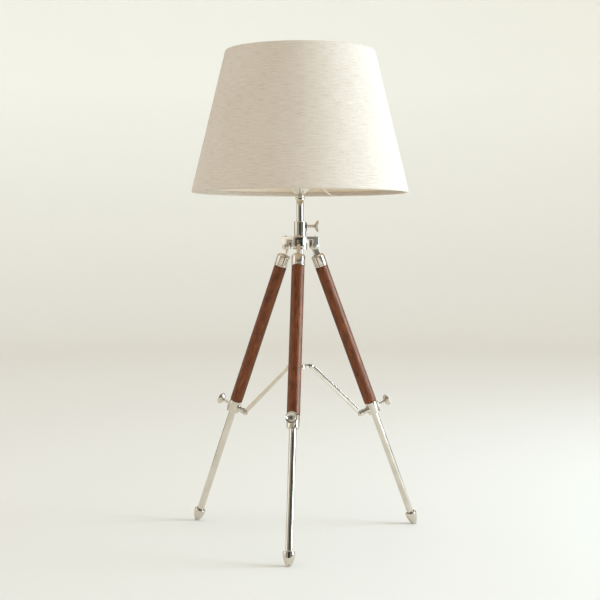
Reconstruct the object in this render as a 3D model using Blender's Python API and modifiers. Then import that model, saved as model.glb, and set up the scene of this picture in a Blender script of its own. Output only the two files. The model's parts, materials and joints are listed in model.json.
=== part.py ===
"""Table lamp on a folding tripod, in metres, +Z up, standing on z = 0.

Three telescopic legs hinge on a cast hub and three flat bars join their collars to a centre
piece, so the legs open and fold together like an umbrella.  A stem slides and turns in the
hub's sleeve and carries the lamp holder, the bulb and a tapered drum shade.

The origin is the middle of the lamp's footprint box, on the floor: the stem stands a little
behind it, because one leg points to the front (-Y) and reaches further than the shade.
Pieces that touch keep a gap of GAP between them.
"""

import math

import bmesh
import bpy
from mathutils import Matrix, Vector

MM = 0.001

# Clearances and the number of sides of round pieces
GAP = 0.3 * MM
SIDES_PIN = 10
SIDES_SMALL = 14
SIDES_TUBE = 16
SIDES_HOLDER = 20
SIDES_SHADE = 40
SIDES_WIRE = 6

# Tripod layout
LEG_AZIMUTHS = {"front": -90.0, "right": 30.0, "left": 150.0}
LEG_TILT = math.radians(22.0)
PIVOT_RADIUS = 22.0 * MM
PIVOT_HEIGHT = 410.0 * MM
TUBE_WALL = 1.0 * MM

# Stem, sleeve and hub
STEM_RADIUS = 5.0 * MM
STEM_BELOW_HUB = 44.0 * MM
STEM_SHOWN = 30.4 * MM
STEM_IN_DOME = 4.0 * MM
HUB_BODY_RADIUS = 10.0 * MM
HUB_PLATE = 5.0 * MM
HUB_PLATE_ABOVE_PIVOT = 8.5 * MM
ARM_LAP = 3.0 * MM
BODY_BELOW_PLATE = 0.6 * MM
CHEEK_RADIUS = 4.8 * MM
CHEEK_THICKNESS = 4.0 * MM
SLEEVE_WALL = 3.2 * MM
SLEEVE_HEIGHT = 20.8 * MM
STEM_SCREW_AZIMUTH = math.radians(5.0)
STEM_SCREW_BELOW_TOP = 6.6 * MM
PAD_WIDTH = 7.0 * MM
PAD_HEIGHT = 13.0 * MM
PAD_PROUD = 1.3 * MM

# Fasteners
PIN_RADIUS = 1.5 * MM
PIN_HEAD_RADIUS = 2.8 * MM
PIN_HEAD_HEIGHT = 1.2 * MM
ARM_SCREW_RADIUS = 1.0 * MM
ARM_SCREW_HEAD_RADIUS = 2.1 * MM
ARM_SCREW_HEAD_HEIGHT = 1.4 * MM
ARM_SCREW_INSET = 2.3 * MM
BAR_PIN_RADIUS = 1.2 * MM
RIVET_HEAD_RADIUS = 2.4 * MM
RIVET_HEAD_HEIGHT = 0.9 * MM

# Thumb screws, measured from the axis of the tube that they clamp
SCREW_SHAFT_RADIUS = 2.0 * MM
SCREW_SHAFT_PROUD = 10.5 * MM
DISH_RADIUS = 8.2 * MM
DISH_DEPTH = 4.6 * MM
DISH_THICKNESS = 1.2 * MM

# Upper leg, measured down the leg from its pivot
TONGUE_THICKNESS = 5.0 * MM
TONGUE_RADIUS = 4.4 * MM
FERRULE_TOP = 12.5 * MM
FERRULE_CROWN = 4.5 * MM
FERRULE_LENGTH = 17.5 * MM
FERRULE_WALL = 1.7 * MM
LEATHER_THICKNESS = 1.2 * MM
LEATHER_EDGE = 0.5 * MM

# Collar at the lower end of the upper leg, measured from the thumb screw's axis
COLLAR_CENTRE = 252.0 * MM
COLLAR_ABOVE = 9.0 * MM
COLLAR_BELOW = 8.5 * MM
COLLAR_SEAT = 6.0 * MM
COLLAR_WALL = 1.0 * MM
BARREL_RADIUS = 4.0 * MM
BARREL_BEYOND_PIVOT = 3.2 * MM
BARREL_PIVOT_REACH = 21.0 * MM
BARREL_FLANGE_RADIUS = 5.0 * MM
BARREL_FLANGE_WIDTH = 1.5 * MM
SLOT_BEHIND_PIVOT = 5.0 * MM

# Lower leg
LOWER_TUBE_RADIUS = 5.0 * MM
LOWER_TUBE_OVERLAP = 50.0 * MM
BUSH_WALL = 0.9 * MM
BUSH_LENGTH = 12.0 * MM
FOOT_LENGTH = 19.5 * MM
FOOT_RADIUS = 8.2 * MM
FOOT_SHOULDER = 2.4 * MM
FOOT_SOCKET = 9.0 * MM
FOOT_NOSE_RADIUS = 3.4 * MM
FOOT_NOSE_INSET = 2.0 * MM

# Spreader
BAR_LENGTH = 105.9 * MM
BAR_HALF_WIDTH = 3.2 * MM
BAR_THICKNESS = 2.0 * MM
CENTRE_RADIUS = 8.5 * MM
CENTRE_HEIGHT = 6.4 * MM
LUG_PIVOT_RADIUS = 18.5 * MM
LUG_THICKNESS = 2.0 * MM

# Lamp holder and the cord's inlet
BUSH_PLUG = 6.0 * MM
BUSH_FLANGE = 2.2 * MM
CORD_BUSH_WALL = 0.6 * MM
COUPLING_WALL = 1.1 * MM
COUPLING_HEIGHT = 7.5 * MM
HOLDER_RADIUS = 19.5 * MM
DOME_HEIGHT = 19.2 * MM
DOME_SWELL = 1.64
DOME_WALL = 1.6 * MM
DOME_RIM = 3.5 * MM
SKIRT_HEIGHT = 34.0 * MM
SKIRT_WALL = 2.0 * MM
INSULATOR_HEIGHT = 30.0 * MM
INSULATOR_FLOOR = 5.7 * MM
CONTACT_RADIUS = 4.0 * MM
CONTACT_THICKNESS = 1.5 * MM
CONTACT_STEM_RADIUS = 2.0 * MM
FITTER_HEIGHT = 9.5 * MM
FITTER_WIDTH = 8.2 * MM
FITTER_THICKNESS = 1.5 * MM
SHADE_RING_WALL = 5.7 * MM
SHADE_RING_HEIGHT = 6.0 * MM

# Bulb
CAP_RADIUS = 13.0 * MM
CAP_HEIGHT = 26.0 * MM
CAP_TIP_RADIUS = 4.5 * MM
BULB_RADIUS = 30.0 * MM
BULB_HEIGHT = 96.0 * MM
GLASS_WALL = 0.8 * MM

# Shade
SPIDER_RISE = 26.5 * MM
SHADE_HEIGHT = 197.0 * MM
SHADE_BOTTOM_RADIUS = 152.5 * MM
SHADE_TOP_RADIUS = 104.7 * MM
FABRIC_THICKNESS = 0.8 * MM
LINING_THICKNESS = 0.5 * MM
WIRE_RADIUS = 1.2 * MM
SPIDER_AZIMUTH = 75.5

# Places worked out from the sizes above
LEG_LENGTH = PIVOT_HEIGHT / math.cos(LEG_TILT)
FOOT_FLAT_RADIUS = math.sqrt(FOOT_NOSE_RADIUS**2 - (FOOT_NOSE_INSET * math.cos(LEG_TILT)) ** 2)
FRONT_REACH = PIVOT_RADIUS + PIVOT_HEIGHT * math.tan(LEG_TILT) + FOOT_FLAT_RADIUS
STEM_Y = (FRONT_REACH - SHADE_BOTTOM_RADIUS) / 2
TONGUE_GAP = TONGUE_THICKNESS + 2 * GAP
ARM_WIDTH = TONGUE_GAP + 2 * CHEEK_THICKNESS
ARM_REACH = PIVOT_RADIUS + CHEEK_RADIUS
PLATE_TOP = PIVOT_HEIGHT + HUB_PLATE_ABOVE_PIVOT + HUB_PLATE
BORE_RADIUS = STEM_RADIUS + GAP
COUPLING_RADIUS = BORE_RADIUS + COUPLING_WALL
CORD_PLUG_RADIUS = STEM_RADIUS - TUBE_WALL - GAP
CORD_HOLE_RADIUS = CORD_PLUG_RADIUS - CORD_BUSH_WALL
SLEEVE_BOTTOM = PLATE_TOP + GAP
SLEEVE_TOP = SLEEVE_BOTTOM + SLEEVE_HEIGHT
STEM_SCREW_HEIGHT = SLEEVE_TOP - STEM_SCREW_BELOW_TOP
LEG_TUBE_RADIUS = LOWER_TUBE_RADIUS + GAP + BUSH_WALL + GAP + TUBE_WALL
LEATHER_RADIUS = LEG_TUBE_RADIUS + GAP + LEATHER_THICKNESS
FERRULE_END = FERRULE_TOP + FERRULE_LENGTH
COLLAR_TOP = COLLAR_CENTRE - COLLAR_ABOVE
COLLAR_RADIUS = LEG_TUBE_RADIUS + GAP + COLLAR_WALL
FOOT_TOP = LEG_LENGTH - FOOT_LENGTH
LOWER_TUBE_TOP = COLLAR_TOP - LOWER_TUBE_OVERLAP
COUPLING_BOTTOM = SLEEVE_TOP + STEM_SHOWN
DOME_BOTTOM = COUPLING_BOTTOM + COUPLING_HEIGHT + GAP
DOME_TOP = DOME_BOTTOM + DOME_HEIGHT
STEM_TOP = DOME_BOTTOM + STEM_IN_DOME
STEM_BOTTOM = PIVOT_HEIGHT - CHEEK_RADIUS - STEM_BELOW_HUB
SKIRT_BOTTOM = DOME_TOP + GAP
CONTACT_BOTTOM = SKIRT_BOTTOM + INSULATOR_FLOOR + GAP
CAP_BOTTOM = CONTACT_BOTTOM + CONTACT_THICKNESS + GAP
GLASS_BOTTOM = CAP_BOTTOM + CAP_HEIGHT + GAP
FITTER_BOTTOM = DOME_TOP + FITTER_HEIGHT
FITTER_TOP = FITTER_BOTTOM + FITTER_THICKNESS
FITTER_BORE = HOLDER_RADIUS + GAP
SHADE_BOTTOM = FITTER_BOTTOM - SPIDER_RISE
SHADE_TOP = SHADE_BOTTOM + SHADE_HEIGHT
SHADE_SLOPE = (SHADE_BOTTOM_RADIUS - SHADE_TOP_RADIUS) / SHADE_HEIGHT

NICKEL = ((0.72, 0.68, 0.62), 0.16, 1.0)
LEATHER = ((0.13, 0.045, 0.022), 0.42, 0.0)
LINEN = ((0.72, 0.66, 0.55), 0.9, 0.0)
LINING = ((0.80, 0.72, 0.60), 0.7, 0.0)
WHITE_ENAMEL = ((0.80, 0.78, 0.74), 0.4, 0.0)
BLACK_PLASTIC = ((0.03, 0.03, 0.03), 0.5, 0.0)
PORCELAIN = ((0.85, 0.84, 0.80), 0.3, 0.0)
BRASS = ((0.70, 0.50, 0.22), 0.3, 1.0)
FROSTED_GLASS = ((0.92, 0.92, 0.90), 0.35, 0.0)


def clear_scene():
    """Remove every object of the scene that Blender starts with."""
    for obj in list(bpy.data.objects):
        bpy.data.objects.remove(obj, do_unlink=True)


def new_collection(name):
    """A collection linked under the scene's own."""
    collection = bpy.data.collections.new(name)
    bpy.context.scene.collection.children.link(collection)
    return collection


def bench_object(data):
    """A helper object in the cutters' collection, for shapes that are joined or cut."""
    obj = bpy.data.objects.new("helper", data)
    bpy.data.collections["cutters"].objects.link(obj)
    obj.hide_render = True
    obj.display_type = "WIRE"
    return obj


def bake(obj):
    """The mesh of a helper object as its modifiers leave it; the helper is removed."""
    graph = bpy.context.evaluated_depsgraph_get()
    mesh = bpy.data.meshes.new_from_object(obj.evaluated_get(graph))
    mesh.transform(obj.matrix_world)
    bpy.data.objects.remove(obj, do_unlink=True)
    work = bmesh.new()
    work.from_mesh(mesh)
    bmesh.ops.remove_doubles(work, verts=work.verts, dist=0.001 * MM)
    bmesh.ops.recalc_face_normals(work, faces=work.faces)
    work.to_mesh(mesh)
    work.free()
    return mesh


def turned(profile, sides, closed=False):
    """Turn a profile of (radius, height) points, given top to bottom on its outer side."""
    mesh = bpy.data.meshes.new("profile")
    work = bmesh.new()
    corners = [work.verts.new((radius, 0.0, height)) for radius, height in profile]
    for start, end in zip(corners, corners[1:]):
        work.edges.new((start, end))
    if closed:
        work.edges.new((corners[-1], corners[0]))
    work.to_mesh(mesh)
    work.free()
    obj = bench_object(mesh)
    screw = obj.modifiers.new("turn", "SCREW")
    screw.steps = sides
    screw.render_steps = sides
    screw.use_merge_vertices = True
    screw.merge_threshold = 0.01 * MM
    return bake(obj)


def tube(outer, inner, top, bottom, sides, edge=0.0):
    """A straight tube whose outer edges are broken by a small chamfer."""
    profile = [(outer - edge, top), (outer, top - edge), (outer, bottom + edge), (outer - edge, bottom)]
    if edge == 0.0:
        profile = [(outer, top), (outer, bottom)]
    return turned(profile + [(inner, bottom), (inner, top)], sides, closed=True)


def arc(centre, radius, start, end, steps):
    """Points (radius, height) of an arc, with its angles in degrees from the horizontal."""
    angles = [math.radians(start + (end - start) * step / steps) for step in range(steps + 1)]
    return [(centre[0] + radius * math.cos(a), centre[1] + radius * math.sin(a)) for a in angles]


def cylinder(radius, start, end, sides):
    """A solid rod between two points."""
    start = Vector(start)
    end = Vector(end)
    middle = Matrix.Translation((start + end) / 2)
    turn = Vector((0, 0, 1)).rotation_difference(end - start).to_matrix().to_4x4()
    mesh = bpy.data.meshes.new("rod")
    work = bmesh.new()
    bmesh.ops.create_cone(
        work, cap_ends=True, segments=sides, radius1=radius, radius2=radius,
        depth=(end - start).length, matrix=middle @ turn,
    )
    work.to_mesh(mesh)
    work.free()
    return mesh


def box(low, high):
    """A block between its lowest and highest corners."""
    low = Vector(low)
    high = Vector(high)
    mesh = bpy.data.meshes.new("block")
    work = bmesh.new()
    size = Matrix.Diagonal((high - low).to_4d())
    bmesh.ops.create_cube(work, size=1.0, matrix=Matrix.Translation((low + high) / 2) @ size)
    work.to_mesh(mesh)
    work.free()
    return mesh


def plate(outline, holes, thickness, offset=0.0):
    """A flat plate standing in the XZ plane, with its middle at y = offset."""
    curve = bpy.data.curves.new("outline", "CURVE")
    curve.dimensions = "2D"
    curve.fill_mode = "BOTH"
    curve.extrude = thickness / 2
    for loop in [outline] + holes:
        spline = curve.splines.new("POLY")
        spline.points.add(len(loop) - 1)
        for point, (x, z) in zip(spline.points, loop):
            point.co = (x, z, 0.0, 1.0)
        spline.use_cyclic_u = True
    obj = bench_object(curve)
    obj.matrix_world = Matrix.Translation((0, offset, 0)) @ Matrix.Rotation(math.pi / 2, 4, "X")
    bpy.context.view_layer.update()
    return bake(obj)


def rounded_bar(start, end, radius, steps=6):
    """Outline of a bar with round ends, centred on two points of the XZ plane."""
    heading = math.degrees(math.atan2(end[1] - start[1], end[0] - start[0]))
    return arc(end, radius, heading - 90, heading + 90, steps) + arc(
        start, radius, heading + 90, heading + 270, steps
    )


def wire(points, radius):
    """A bent wire through points, with filled ends."""
    curve = bpy.data.curves.new("wire", "CURVE")
    curve.dimensions = "3D"
    curve.bevel_depth = radius
    curve.bevel_resolution = 1
    curve.use_fill_caps = True
    spline = curve.splines.new("POLY")
    spline.points.add(len(points) - 1)
    for point, place in zip(spline.points, points):
        point.co = (*place, 1.0)
    return bake(bench_object(curve))


def moved(mesh, matrix):
    """A copy of a mesh, moved by a matrix."""
    copy = mesh.copy()
    copy.transform(matrix)
    return copy


def combined(base, joined=(), cut=()):
    """The union of some solids, less the cutters."""
    body = bench_object(base)
    helpers = []
    for operation, solids in (("UNION", joined), ("DIFFERENCE", cut)):
        for solid in solids:
            helper = bench_object(solid)
            helpers.append(helper)
            boolean = body.modifiers.new(operation.lower(), "BOOLEAN")
            boolean.operation = operation
            boolean.object = helper
    result = bake(body)
    for helper in helpers:
        bpy.data.objects.remove(helper, do_unlink=True)
    return result


def finish_material(name, finish):
    """A Principled material for one kind of piece."""
    colour, roughness, metallic = finish
    material = bpy.data.materials.new(name)
    material.use_nodes = True
    shader = material.node_tree.nodes["Principled BSDF"]
    shader.inputs["Base Color"].default_value = (*colour, 1.0)
    shader.inputs["Roughness"].default_value = roughness
    shader.inputs["Metallic"].default_value = metallic
    return material


def dress(mesh, name, finish):
    """Name a mesh, give it its material and shade it smooth up to its sharp edges."""
    mesh.name = name
    mesh.materials.clear()
    mesh.materials.append(finish_material(name, finish))
    mesh.shade_smooth()
    mesh.set_sharp_from_angle(angle=math.radians(35))
    return mesh


def empty(name, parent, location, rotation=(0.0, 0.0, 0.0)):
    """An empty that marks an axis and carries the pieces on it."""
    obj = bpy.data.objects.new(name, None)
    bpy.data.collections["tripod_lamp"].objects.link(obj)
    obj.empty_display_size = 10 * MM
    obj.parent = parent
    obj.location = location
    obj.rotation_euler = rotation
    return obj


def place(name, mesh, parent, location=(0.0, 0.0, 0.0), rotation=(0.0, 0.0, 0.0)):
    """A piece of the lamp, placed under its parent."""
    obj = bpy.data.objects.new(name, mesh)
    bpy.data.collections["tripod_lamp"].objects.link(obj)
    obj.parent = parent
    obj.location = location
    obj.rotation_euler = rotation
    return obj


def spin(degrees):
    """A turn about the stem axis."""
    return Matrix.Rotation(math.radians(degrees), 4, "Z")


# Fasteners


def rivet_mesh(length, shank_radius, head_radius, head_height):
    """A pin along Z with a domed head at each end, centred on the origin."""
    half = length / 2
    dome = [(0.0, half + head_height)] + [
        (head_radius * math.sin(a), half + head_height * math.cos(a))
        for a in (math.pi / 6, math.pi / 3, math.pi / 2)
    ]
    upper = dome + [(shank_radius, half)]
    lower = [(radius, -height) for radius, height in reversed(upper)]
    return turned(upper + lower, SIDES_PIN)


def screw_mesh(length, shank_radius, head_radius, head_height):
    """A screw down -Z with a domed head standing on z = 0."""
    dome = [(0.0, head_height)] + [
        (head_radius * math.sin(a), head_height * math.cos(a))
        for a in (math.pi / 6, math.pi / 3, math.pi / 2)
    ]
    return turned(dome + [(shank_radius, 0.0), (shank_radius, -length), (0.0, -length)], SIDES_PIN)


def thumb_screw_mesh(tube_radius, boss_face):
    """A clamp screw along +Z from the tube's surface, with a dished head open outwards."""
    tip = tube_radius + GAP
    neck = boss_face + SCREW_SHAFT_PROUD
    bowl = (DISH_RADIUS**2 + DISH_DEPTH**2) / (2 * DISH_DEPTH)
    sweep = math.asin(DISH_RADIUS / bowl)
    turns = [sweep * step / 3 for step in range(4)]
    inside = [(bowl * math.sin(a), neck + DISH_THICKNESS + bowl * (1 - math.cos(a))) for a in turns]
    outside = [(bowl * math.sin(a), neck + bowl * (1 - math.cos(a))) for a in turns]
    rim_back = (DISH_RADIUS + 0.3 * DISH_THICKNESS, outside[-1][1] + 0.3 * DISH_THICKNESS)
    fillet = (SCREW_SHAFT_RADIUS, neck - 1.2 * MM)
    shaft = [(SCREW_SHAFT_RADIUS, tip), (0.0, tip)]
    profile = inside + [rim_back] + outside[:0:-1] + [fillet] + shaft
    return turned(profile, SIDES_TUBE)


# Hub


def hub_mesh():
    """Cast hub: a bored body, three arms with hanging cheeks, and their pin and screw holes."""
    plate_bottom = PLATE_TOP - HUB_PLATE
    body_bottom = PIVOT_HEIGHT - CHEEK_RADIUS
    inner_face = PIVOT_RADIUS - CHEEK_RADIUS
    arm_outline = [(-ARM_LAP, PLATE_TOP), (-ARM_LAP, plate_bottom), (inner_face, plate_bottom)]
    arm_outline += arc((PIVOT_RADIUS, PIVOT_HEIGHT), CHEEK_RADIUS, 180, 360, 8)
    arm_outline += arc((ARM_REACH - MM, PLATE_TOP - MM), MM, 0, 90, 2)
    arm = plate(arm_outline, [], ARM_WIDTH)
    slot = box(
        (inner_face - MM, -TONGUE_GAP / 2, body_bottom - MM),
        (ARM_REACH + MM, TONGUE_GAP / 2, plate_bottom + GAP),
    )
    pin_hole = cylinder(
        PIN_RADIUS + GAP,
        (PIVOT_RADIUS, -ARM_WIDTH, PIVOT_HEIGHT),
        (PIVOT_RADIUS, ARM_WIDTH, PIVOT_HEIGHT),
        SIDES_PIN,
    )
    screw_x = ARM_REACH - ARM_SCREW_INSET
    screw_hole = cylinder(
        ARM_SCREW_RADIUS + GAP,
        (screw_x, 0, plate_bottom - MM),
        (screw_x, 0, PLATE_TOP + MM),
        SIDES_PIN,
    )
    body_top = PLATE_TOP - BODY_BELOW_PLATE
    body = turned(
        [
            (0.0, body_top),
            (HUB_BODY_RADIUS, body_top),
            (HUB_BODY_RADIUS, body_bottom + MM),
            (HUB_BODY_RADIUS - MM, body_bottom),
            (0.0, body_bottom),
        ],
        SIDES_HOLDER,
    )
    bore = cylinder(BORE_RADIUS, (0, 0, body_bottom - MM), (0, 0, PLATE_TOP + MM), SIDES_TUBE)
    turns = [spin(azimuth) for azimuth in LEG_AZIMUTHS.values()]
    arms = [moved(arm, turn) for turn in turns]
    cuts = [moved(cutter, turn) for turn in turns for cutter in (slot, pin_hole, screw_hole)]
    return combined(body, arms, cuts + [bore])


def clamp_pad(face, height, low, thickness):
    """Flat pad that backs a thumb screw, reaching in far enough to join the wall behind it."""
    return box((face - thickness, -PAD_WIDTH / 2, low), (face, PAD_WIDTH / 2, low + height))


def sleeve_mesh():
    """Sleeve on the hub, bored for the stem, with the clamp screw's pad and hole."""
    outer = BORE_RADIUS + SLEEVE_WALL
    wall = tube(outer, BORE_RADIUS, SLEEVE_TOP, SLEEVE_BOTTOM, SIDES_TUBE, edge=0.6 * MM)
    pad_low = SLEEVE_TOP - 1.6 * MM - PAD_HEIGHT
    pad = clamp_pad(outer + PAD_PROUD, PAD_HEIGHT, pad_low, SLEEVE_WALL + PAD_PROUD - MM)
    hole = cylinder(
        SCREW_SHAFT_RADIUS + GAP,
        (0, 0, STEM_SCREW_HEIGHT),
        (outer + 2 * PAD_PROUD, 0, STEM_SCREW_HEIGHT),
        SIDES_PIN,
    )
    return combined(wall, [pad], [hole])


# Legs: each mesh has its origin on the leg's pivot, -Z down the leg and +X outwards


def ferrule_mesh():
    """Cup on the top of the leg tube, with a tongue that the hinge pin passes through."""
    outer = LEG_TUBE_RADIUS + GAP + FERRULE_WALL
    bore = LEG_TUBE_RADIUS + GAP
    floor = -(FERRULE_TOP + FERRULE_CROWN)
    cup = turned(
        [(0.0, -FERRULE_TOP), (outer - 2 * MM, -FERRULE_TOP), (outer, -FERRULE_TOP - 2 * MM)]
        + [(outer, -FERRULE_END), (bore, -FERRULE_END), (bore, floor), (0.0, floor)],
        SIDES_TUBE,
    )
    hole = arc((0.0, 0.0), PIN_RADIUS + GAP, 0, 330, 11)
    end = (0.0, -FERRULE_TOP - FERRULE_CROWN / 2 + TONGUE_RADIUS)
    outline = rounded_bar(end, (0.0, 0.0), TONGUE_RADIUS)[: 7] + [
        (-TONGUE_RADIUS, -FERRULE_TOP - FERRULE_CROWN / 2),
        (TONGUE_RADIUS, -FERRULE_TOP - FERRULE_CROWN / 2),
    ]
    return combined(cup, [plate(outline, [hole], TONGUE_THICKNESS)])


def leg_tube_mesh():
    """Inner metal tube of the upper leg, from the ferrule's cup to the collar's seat."""
    top = -(FERRULE_TOP + FERRULE_CROWN + GAP)
    bottom = -(COLLAR_TOP + COLLAR_SEAT - GAP)
    return tube(LEG_TUBE_RADIUS, LEG_TUBE_RADIUS - TUBE_WALL, top, bottom, SIDES_TUBE)


def leather_mesh():
    """Leather wrap around the leg tube, between the ferrule and the collar."""
    top = -(FERRULE_END + GAP)
    bottom = -(COLLAR_TOP - GAP)
    return tube(LEATHER_RADIUS, LEG_TUBE_RADIUS + GAP, top, bottom, SIDES_TUBE, edge=LEATHER_EDGE)


def collar_mesh():
    """Collar with the lower tube's bore, the clamp pad and screw hole, and the slotted barrel.

    Its origin is where the leg's axis meets the thumb screw's.
    """
    outer = COLLAR_RADIUS
    seat_radius = LEG_TUBE_RADIUS + GAP
    bore_radius = LOWER_TUBE_RADIUS + GAP
    body = turned(
        [(0.0, COLLAR_ABOVE), (outer, COLLAR_ABOVE), (outer, MM - COLLAR_BELOW)]
        + [(outer - MM, -COLLAR_BELOW), (0.0, -COLLAR_BELOW)],
        SIDES_TUBE,
    )
    pad_low = -min(COLLAR_BELOW - MM, PAD_HEIGHT / 2)
    pad = clamp_pad(outer + PAD_PROUD, PAD_HEIGHT, pad_low, outer - bore_radius + PAD_PROUD)
    tip = -(BARREL_PIVOT_REACH + BARREL_BEYOND_PIVOT)
    barrel = cylinder(BARREL_RADIUS, (-bore_radius, 0, 0), (tip, 0, 0), SIDES_SMALL)
    flange_face = -outer - BARREL_FLANGE_WIDTH
    flange = cylinder(BARREL_FLANGE_RADIUS, (-bore_radius, 0, 0), (flange_face, 0, 0), SIDES_SMALL)
    bore = cylinder(bore_radius, (0, 0, -2 * COLLAR_BELOW), (0, 0, COLLAR_ABOVE), SIDES_TUBE)
    seat_bottom = COLLAR_ABOVE - COLLAR_SEAT
    seat = cylinder(seat_radius, (0, 0, seat_bottom), (0, 0, 2 * COLLAR_ABOVE), SIDES_TUBE)
    screw_hole = cylinder(SCREW_SHAFT_RADIUS + GAP, (0, 0, 0), (outer + 2 * PAD_PROUD, 0, 0), SIDES_PIN)
    slot_half = BAR_THICKNESS / 2 + GAP
    slot = box(
        (tip - MM, -slot_half, -2 * BARREL_RADIUS),
        (SLOT_BEHIND_PIVOT - BARREL_PIVOT_REACH, slot_half, 2 * BARREL_RADIUS),
    )
    pin_hole = cylinder(
        BAR_PIN_RADIUS + GAP,
        (-BARREL_PIVOT_REACH, -2 * BARREL_RADIUS, 0),
        (-BARREL_PIVOT_REACH, 2 * BARREL_RADIUS, 0),
        SIDES_PIN,
    )
    return combined(body, [pad, flange, barrel], [bore, seat, screw_hole, slot, pin_hole])


def lower_tube_mesh():
    """Telescopic tube that slides in the leg tube and ends in the foot's socket."""
    bottom = -(FOOT_TOP + FOOT_SOCKET - GAP)
    return tube(LOWER_TUBE_RADIUS, LOWER_TUBE_RADIUS - TUBE_WALL, -LOWER_TUBE_TOP, bottom, SIDES_TUBE)


def guide_bush_mesh():
    """Plastic bush on the top of the lower tube, which guides it in the leg tube."""
    outer = LEG_TUBE_RADIUS - TUBE_WALL - GAP
    top = -LOWER_TUBE_TOP
    return tube(outer, LOWER_TUBE_RADIUS + GAP, top, top - BUSH_LENGTH, SIDES_TUBE)


def foot_mesh():
    """Bullet-shaped foot, socketed for the lower tube and cut level where it stands."""
    socket = LOWER_TUBE_RADIUS + GAP
    nose = -(LEG_LENGTH - FOOT_NOSE_INSET)
    shoulder = -(FOOT_TOP + FOOT_SHOULDER)
    profile = [(FOOT_RADIUS - 1.6 * MM, -FOOT_TOP), (FOOT_RADIUS - 0.4 * MM, -FOOT_TOP - 0.7 * MM)]
    for step in range(5):
        share = step / 4
        radius = FOOT_RADIUS - (FOOT_RADIUS - FOOT_NOSE_RADIUS) * share**1.5
        profile.append((radius, shoulder + (nose - shoulder) * share))
    profile += arc((0.0, nose), FOOT_NOSE_RADIUS, -22.5, -90, 3)
    floor = -(FOOT_TOP + FOOT_SOCKET)
    profile = [(0.0, floor), (socket, floor), (socket, -FOOT_TOP)] + profile
    mesh = turned(profile, SIDES_TUBE)
    work = bmesh.new()
    work.from_mesh(mesh)
    down = Vector((-math.sin(LEG_TILT), 0.0, -math.cos(LEG_TILT)))
    cut = bmesh.ops.bisect_plane(
        work,
        geom=work.verts[:] + work.edges[:] + work.faces[:],
        plane_co=(0.0, 0.0, -LEG_LENGTH),
        plane_no=down,
        clear_outer=True,
    )
    rim = [item for item in cut["geom_cut"] if isinstance(item, bmesh.types.BMEdge)]
    bmesh.ops.contextual_create(work, geom=rim)
    bmesh.ops.recalc_face_normals(work, faces=work.faces)
    work.to_mesh(mesh)
    work.free()
    return mesh


# Spreader


def bar_hinge():
    """Where a bar's hinge lies at rest, as (radius from the stem axis, height)."""
    along = Vector((math.sin(LEG_TILT), -math.cos(LEG_TILT)))
    inward = Vector((-math.cos(LEG_TILT), -math.sin(LEG_TILT)))
    pivot = Vector((PIVOT_RADIUS, PIVOT_HEIGHT))
    return pivot + COLLAR_CENTRE * along + BARREL_PIVOT_REACH * inward


def bar_rise():
    """The bar's slope at rest, in radians above the horizontal."""
    return math.acos((bar_hinge().x - LUG_PIVOT_RADIUS) / BAR_LENGTH)


def bar_mesh():
    """Flat bar along +X from its hinge hole to its riveted end."""
    ends = [(0.0, 0.0), (BAR_LENGTH, 0.0)]
    holes = [arc(end, BAR_PIN_RADIUS + GAP, 0, 330, 11) for end in ends]
    return plate(rounded_bar(*ends, BAR_HALF_WIDTH), holes, BAR_THICKNESS)


def bar_pin_mesh():
    """Plain pin along Z through the barrel's cheeks and the bar."""
    half = BARREL_RADIUS - GAP
    return cylinder(BAR_PIN_RADIUS, (0, 0, -half), (0, 0, half), SIDES_PIN)


def bar_rivet_mesh():
    """Rivet along Z at the bar's free end: its head lies on the bar, its shank ends in the hole."""
    face = BAR_THICKNESS / 2
    return moved(
        screw_mesh(BAR_THICKNESS, BAR_PIN_RADIUS, RIVET_HEAD_RADIUS, RIVET_HEAD_HEIGHT),
        Matrix.Translation((0, 0, face + GAP)),
    )


def centre_mesh():
    """Centre piece of the spreader, with one flat lug beside each bar's end."""
    half = CENTRE_HEIGHT / 2
    disc = turned(
        [(0.0, half + MM), (CENTRE_RADIUS - 3 * MM, half + MM), (CENTRE_RADIUS, half - MM)]
        + [(CENTRE_RADIUS, -half + MM), (CENTRE_RADIUS - MM, -half), (0.0, -half)],
        SIDES_SMALL,
    )
    beside = BAR_THICKNESS / 2 + GAP + LUG_THICKNESS / 2
    lug_outline = rounded_bar((2 * MM, 0.0), (LUG_PIVOT_RADIUS, 0.0), BAR_HALF_WIDTH)
    lug = plate(lug_outline, [], LUG_THICKNESS, offset=beside)
    outer_face = beside + LUG_THICKNESS / 2
    tail = cylinder(
        RIVET_HEAD_RADIUS,
        (LUG_PIVOT_RADIUS, outer_face - MM, 0),
        (LUG_PIVOT_RADIUS, outer_face + RIVET_HEAD_HEIGHT, 0),
        SIDES_PIN,
    )
    turns = [spin(azimuth) for azimuth in LEG_AZIMUTHS.values()]
    lugs = [moved(solid, turn) for turn in turns for solid in (lug, tail)]
    return combined(disc, lugs)


# Stem and lamp holder: meshes from here on stand on the stem axis at their own heights


def stem_mesh():
    """Stem tube from below the hub to just inside the holder's dome."""
    return tube(STEM_RADIUS, STEM_RADIUS - TUBE_WALL, STEM_TOP, STEM_BOTTOM, SIDES_TUBE)


def cord_bush_mesh():
    """Plastic bush in the stem's lower end, where a cord would go in."""
    plug = CORD_PLUG_RADIUS
    top = STEM_BOTTOM + BUSH_PLUG
    flange_top = STEM_BOTTOM - GAP
    flange_bottom = flange_top - BUSH_FLANGE
    profile = [(plug, top), (plug, flange_top), (STEM_RADIUS, flange_top)]
    profile += [(STEM_RADIUS - 0.6 * MM, flange_bottom), (CORD_HOLE_RADIUS, flange_bottom)]
    return turned(profile + [(CORD_HOLE_RADIUS, top)], SIDES_SMALL, closed=True)


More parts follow.
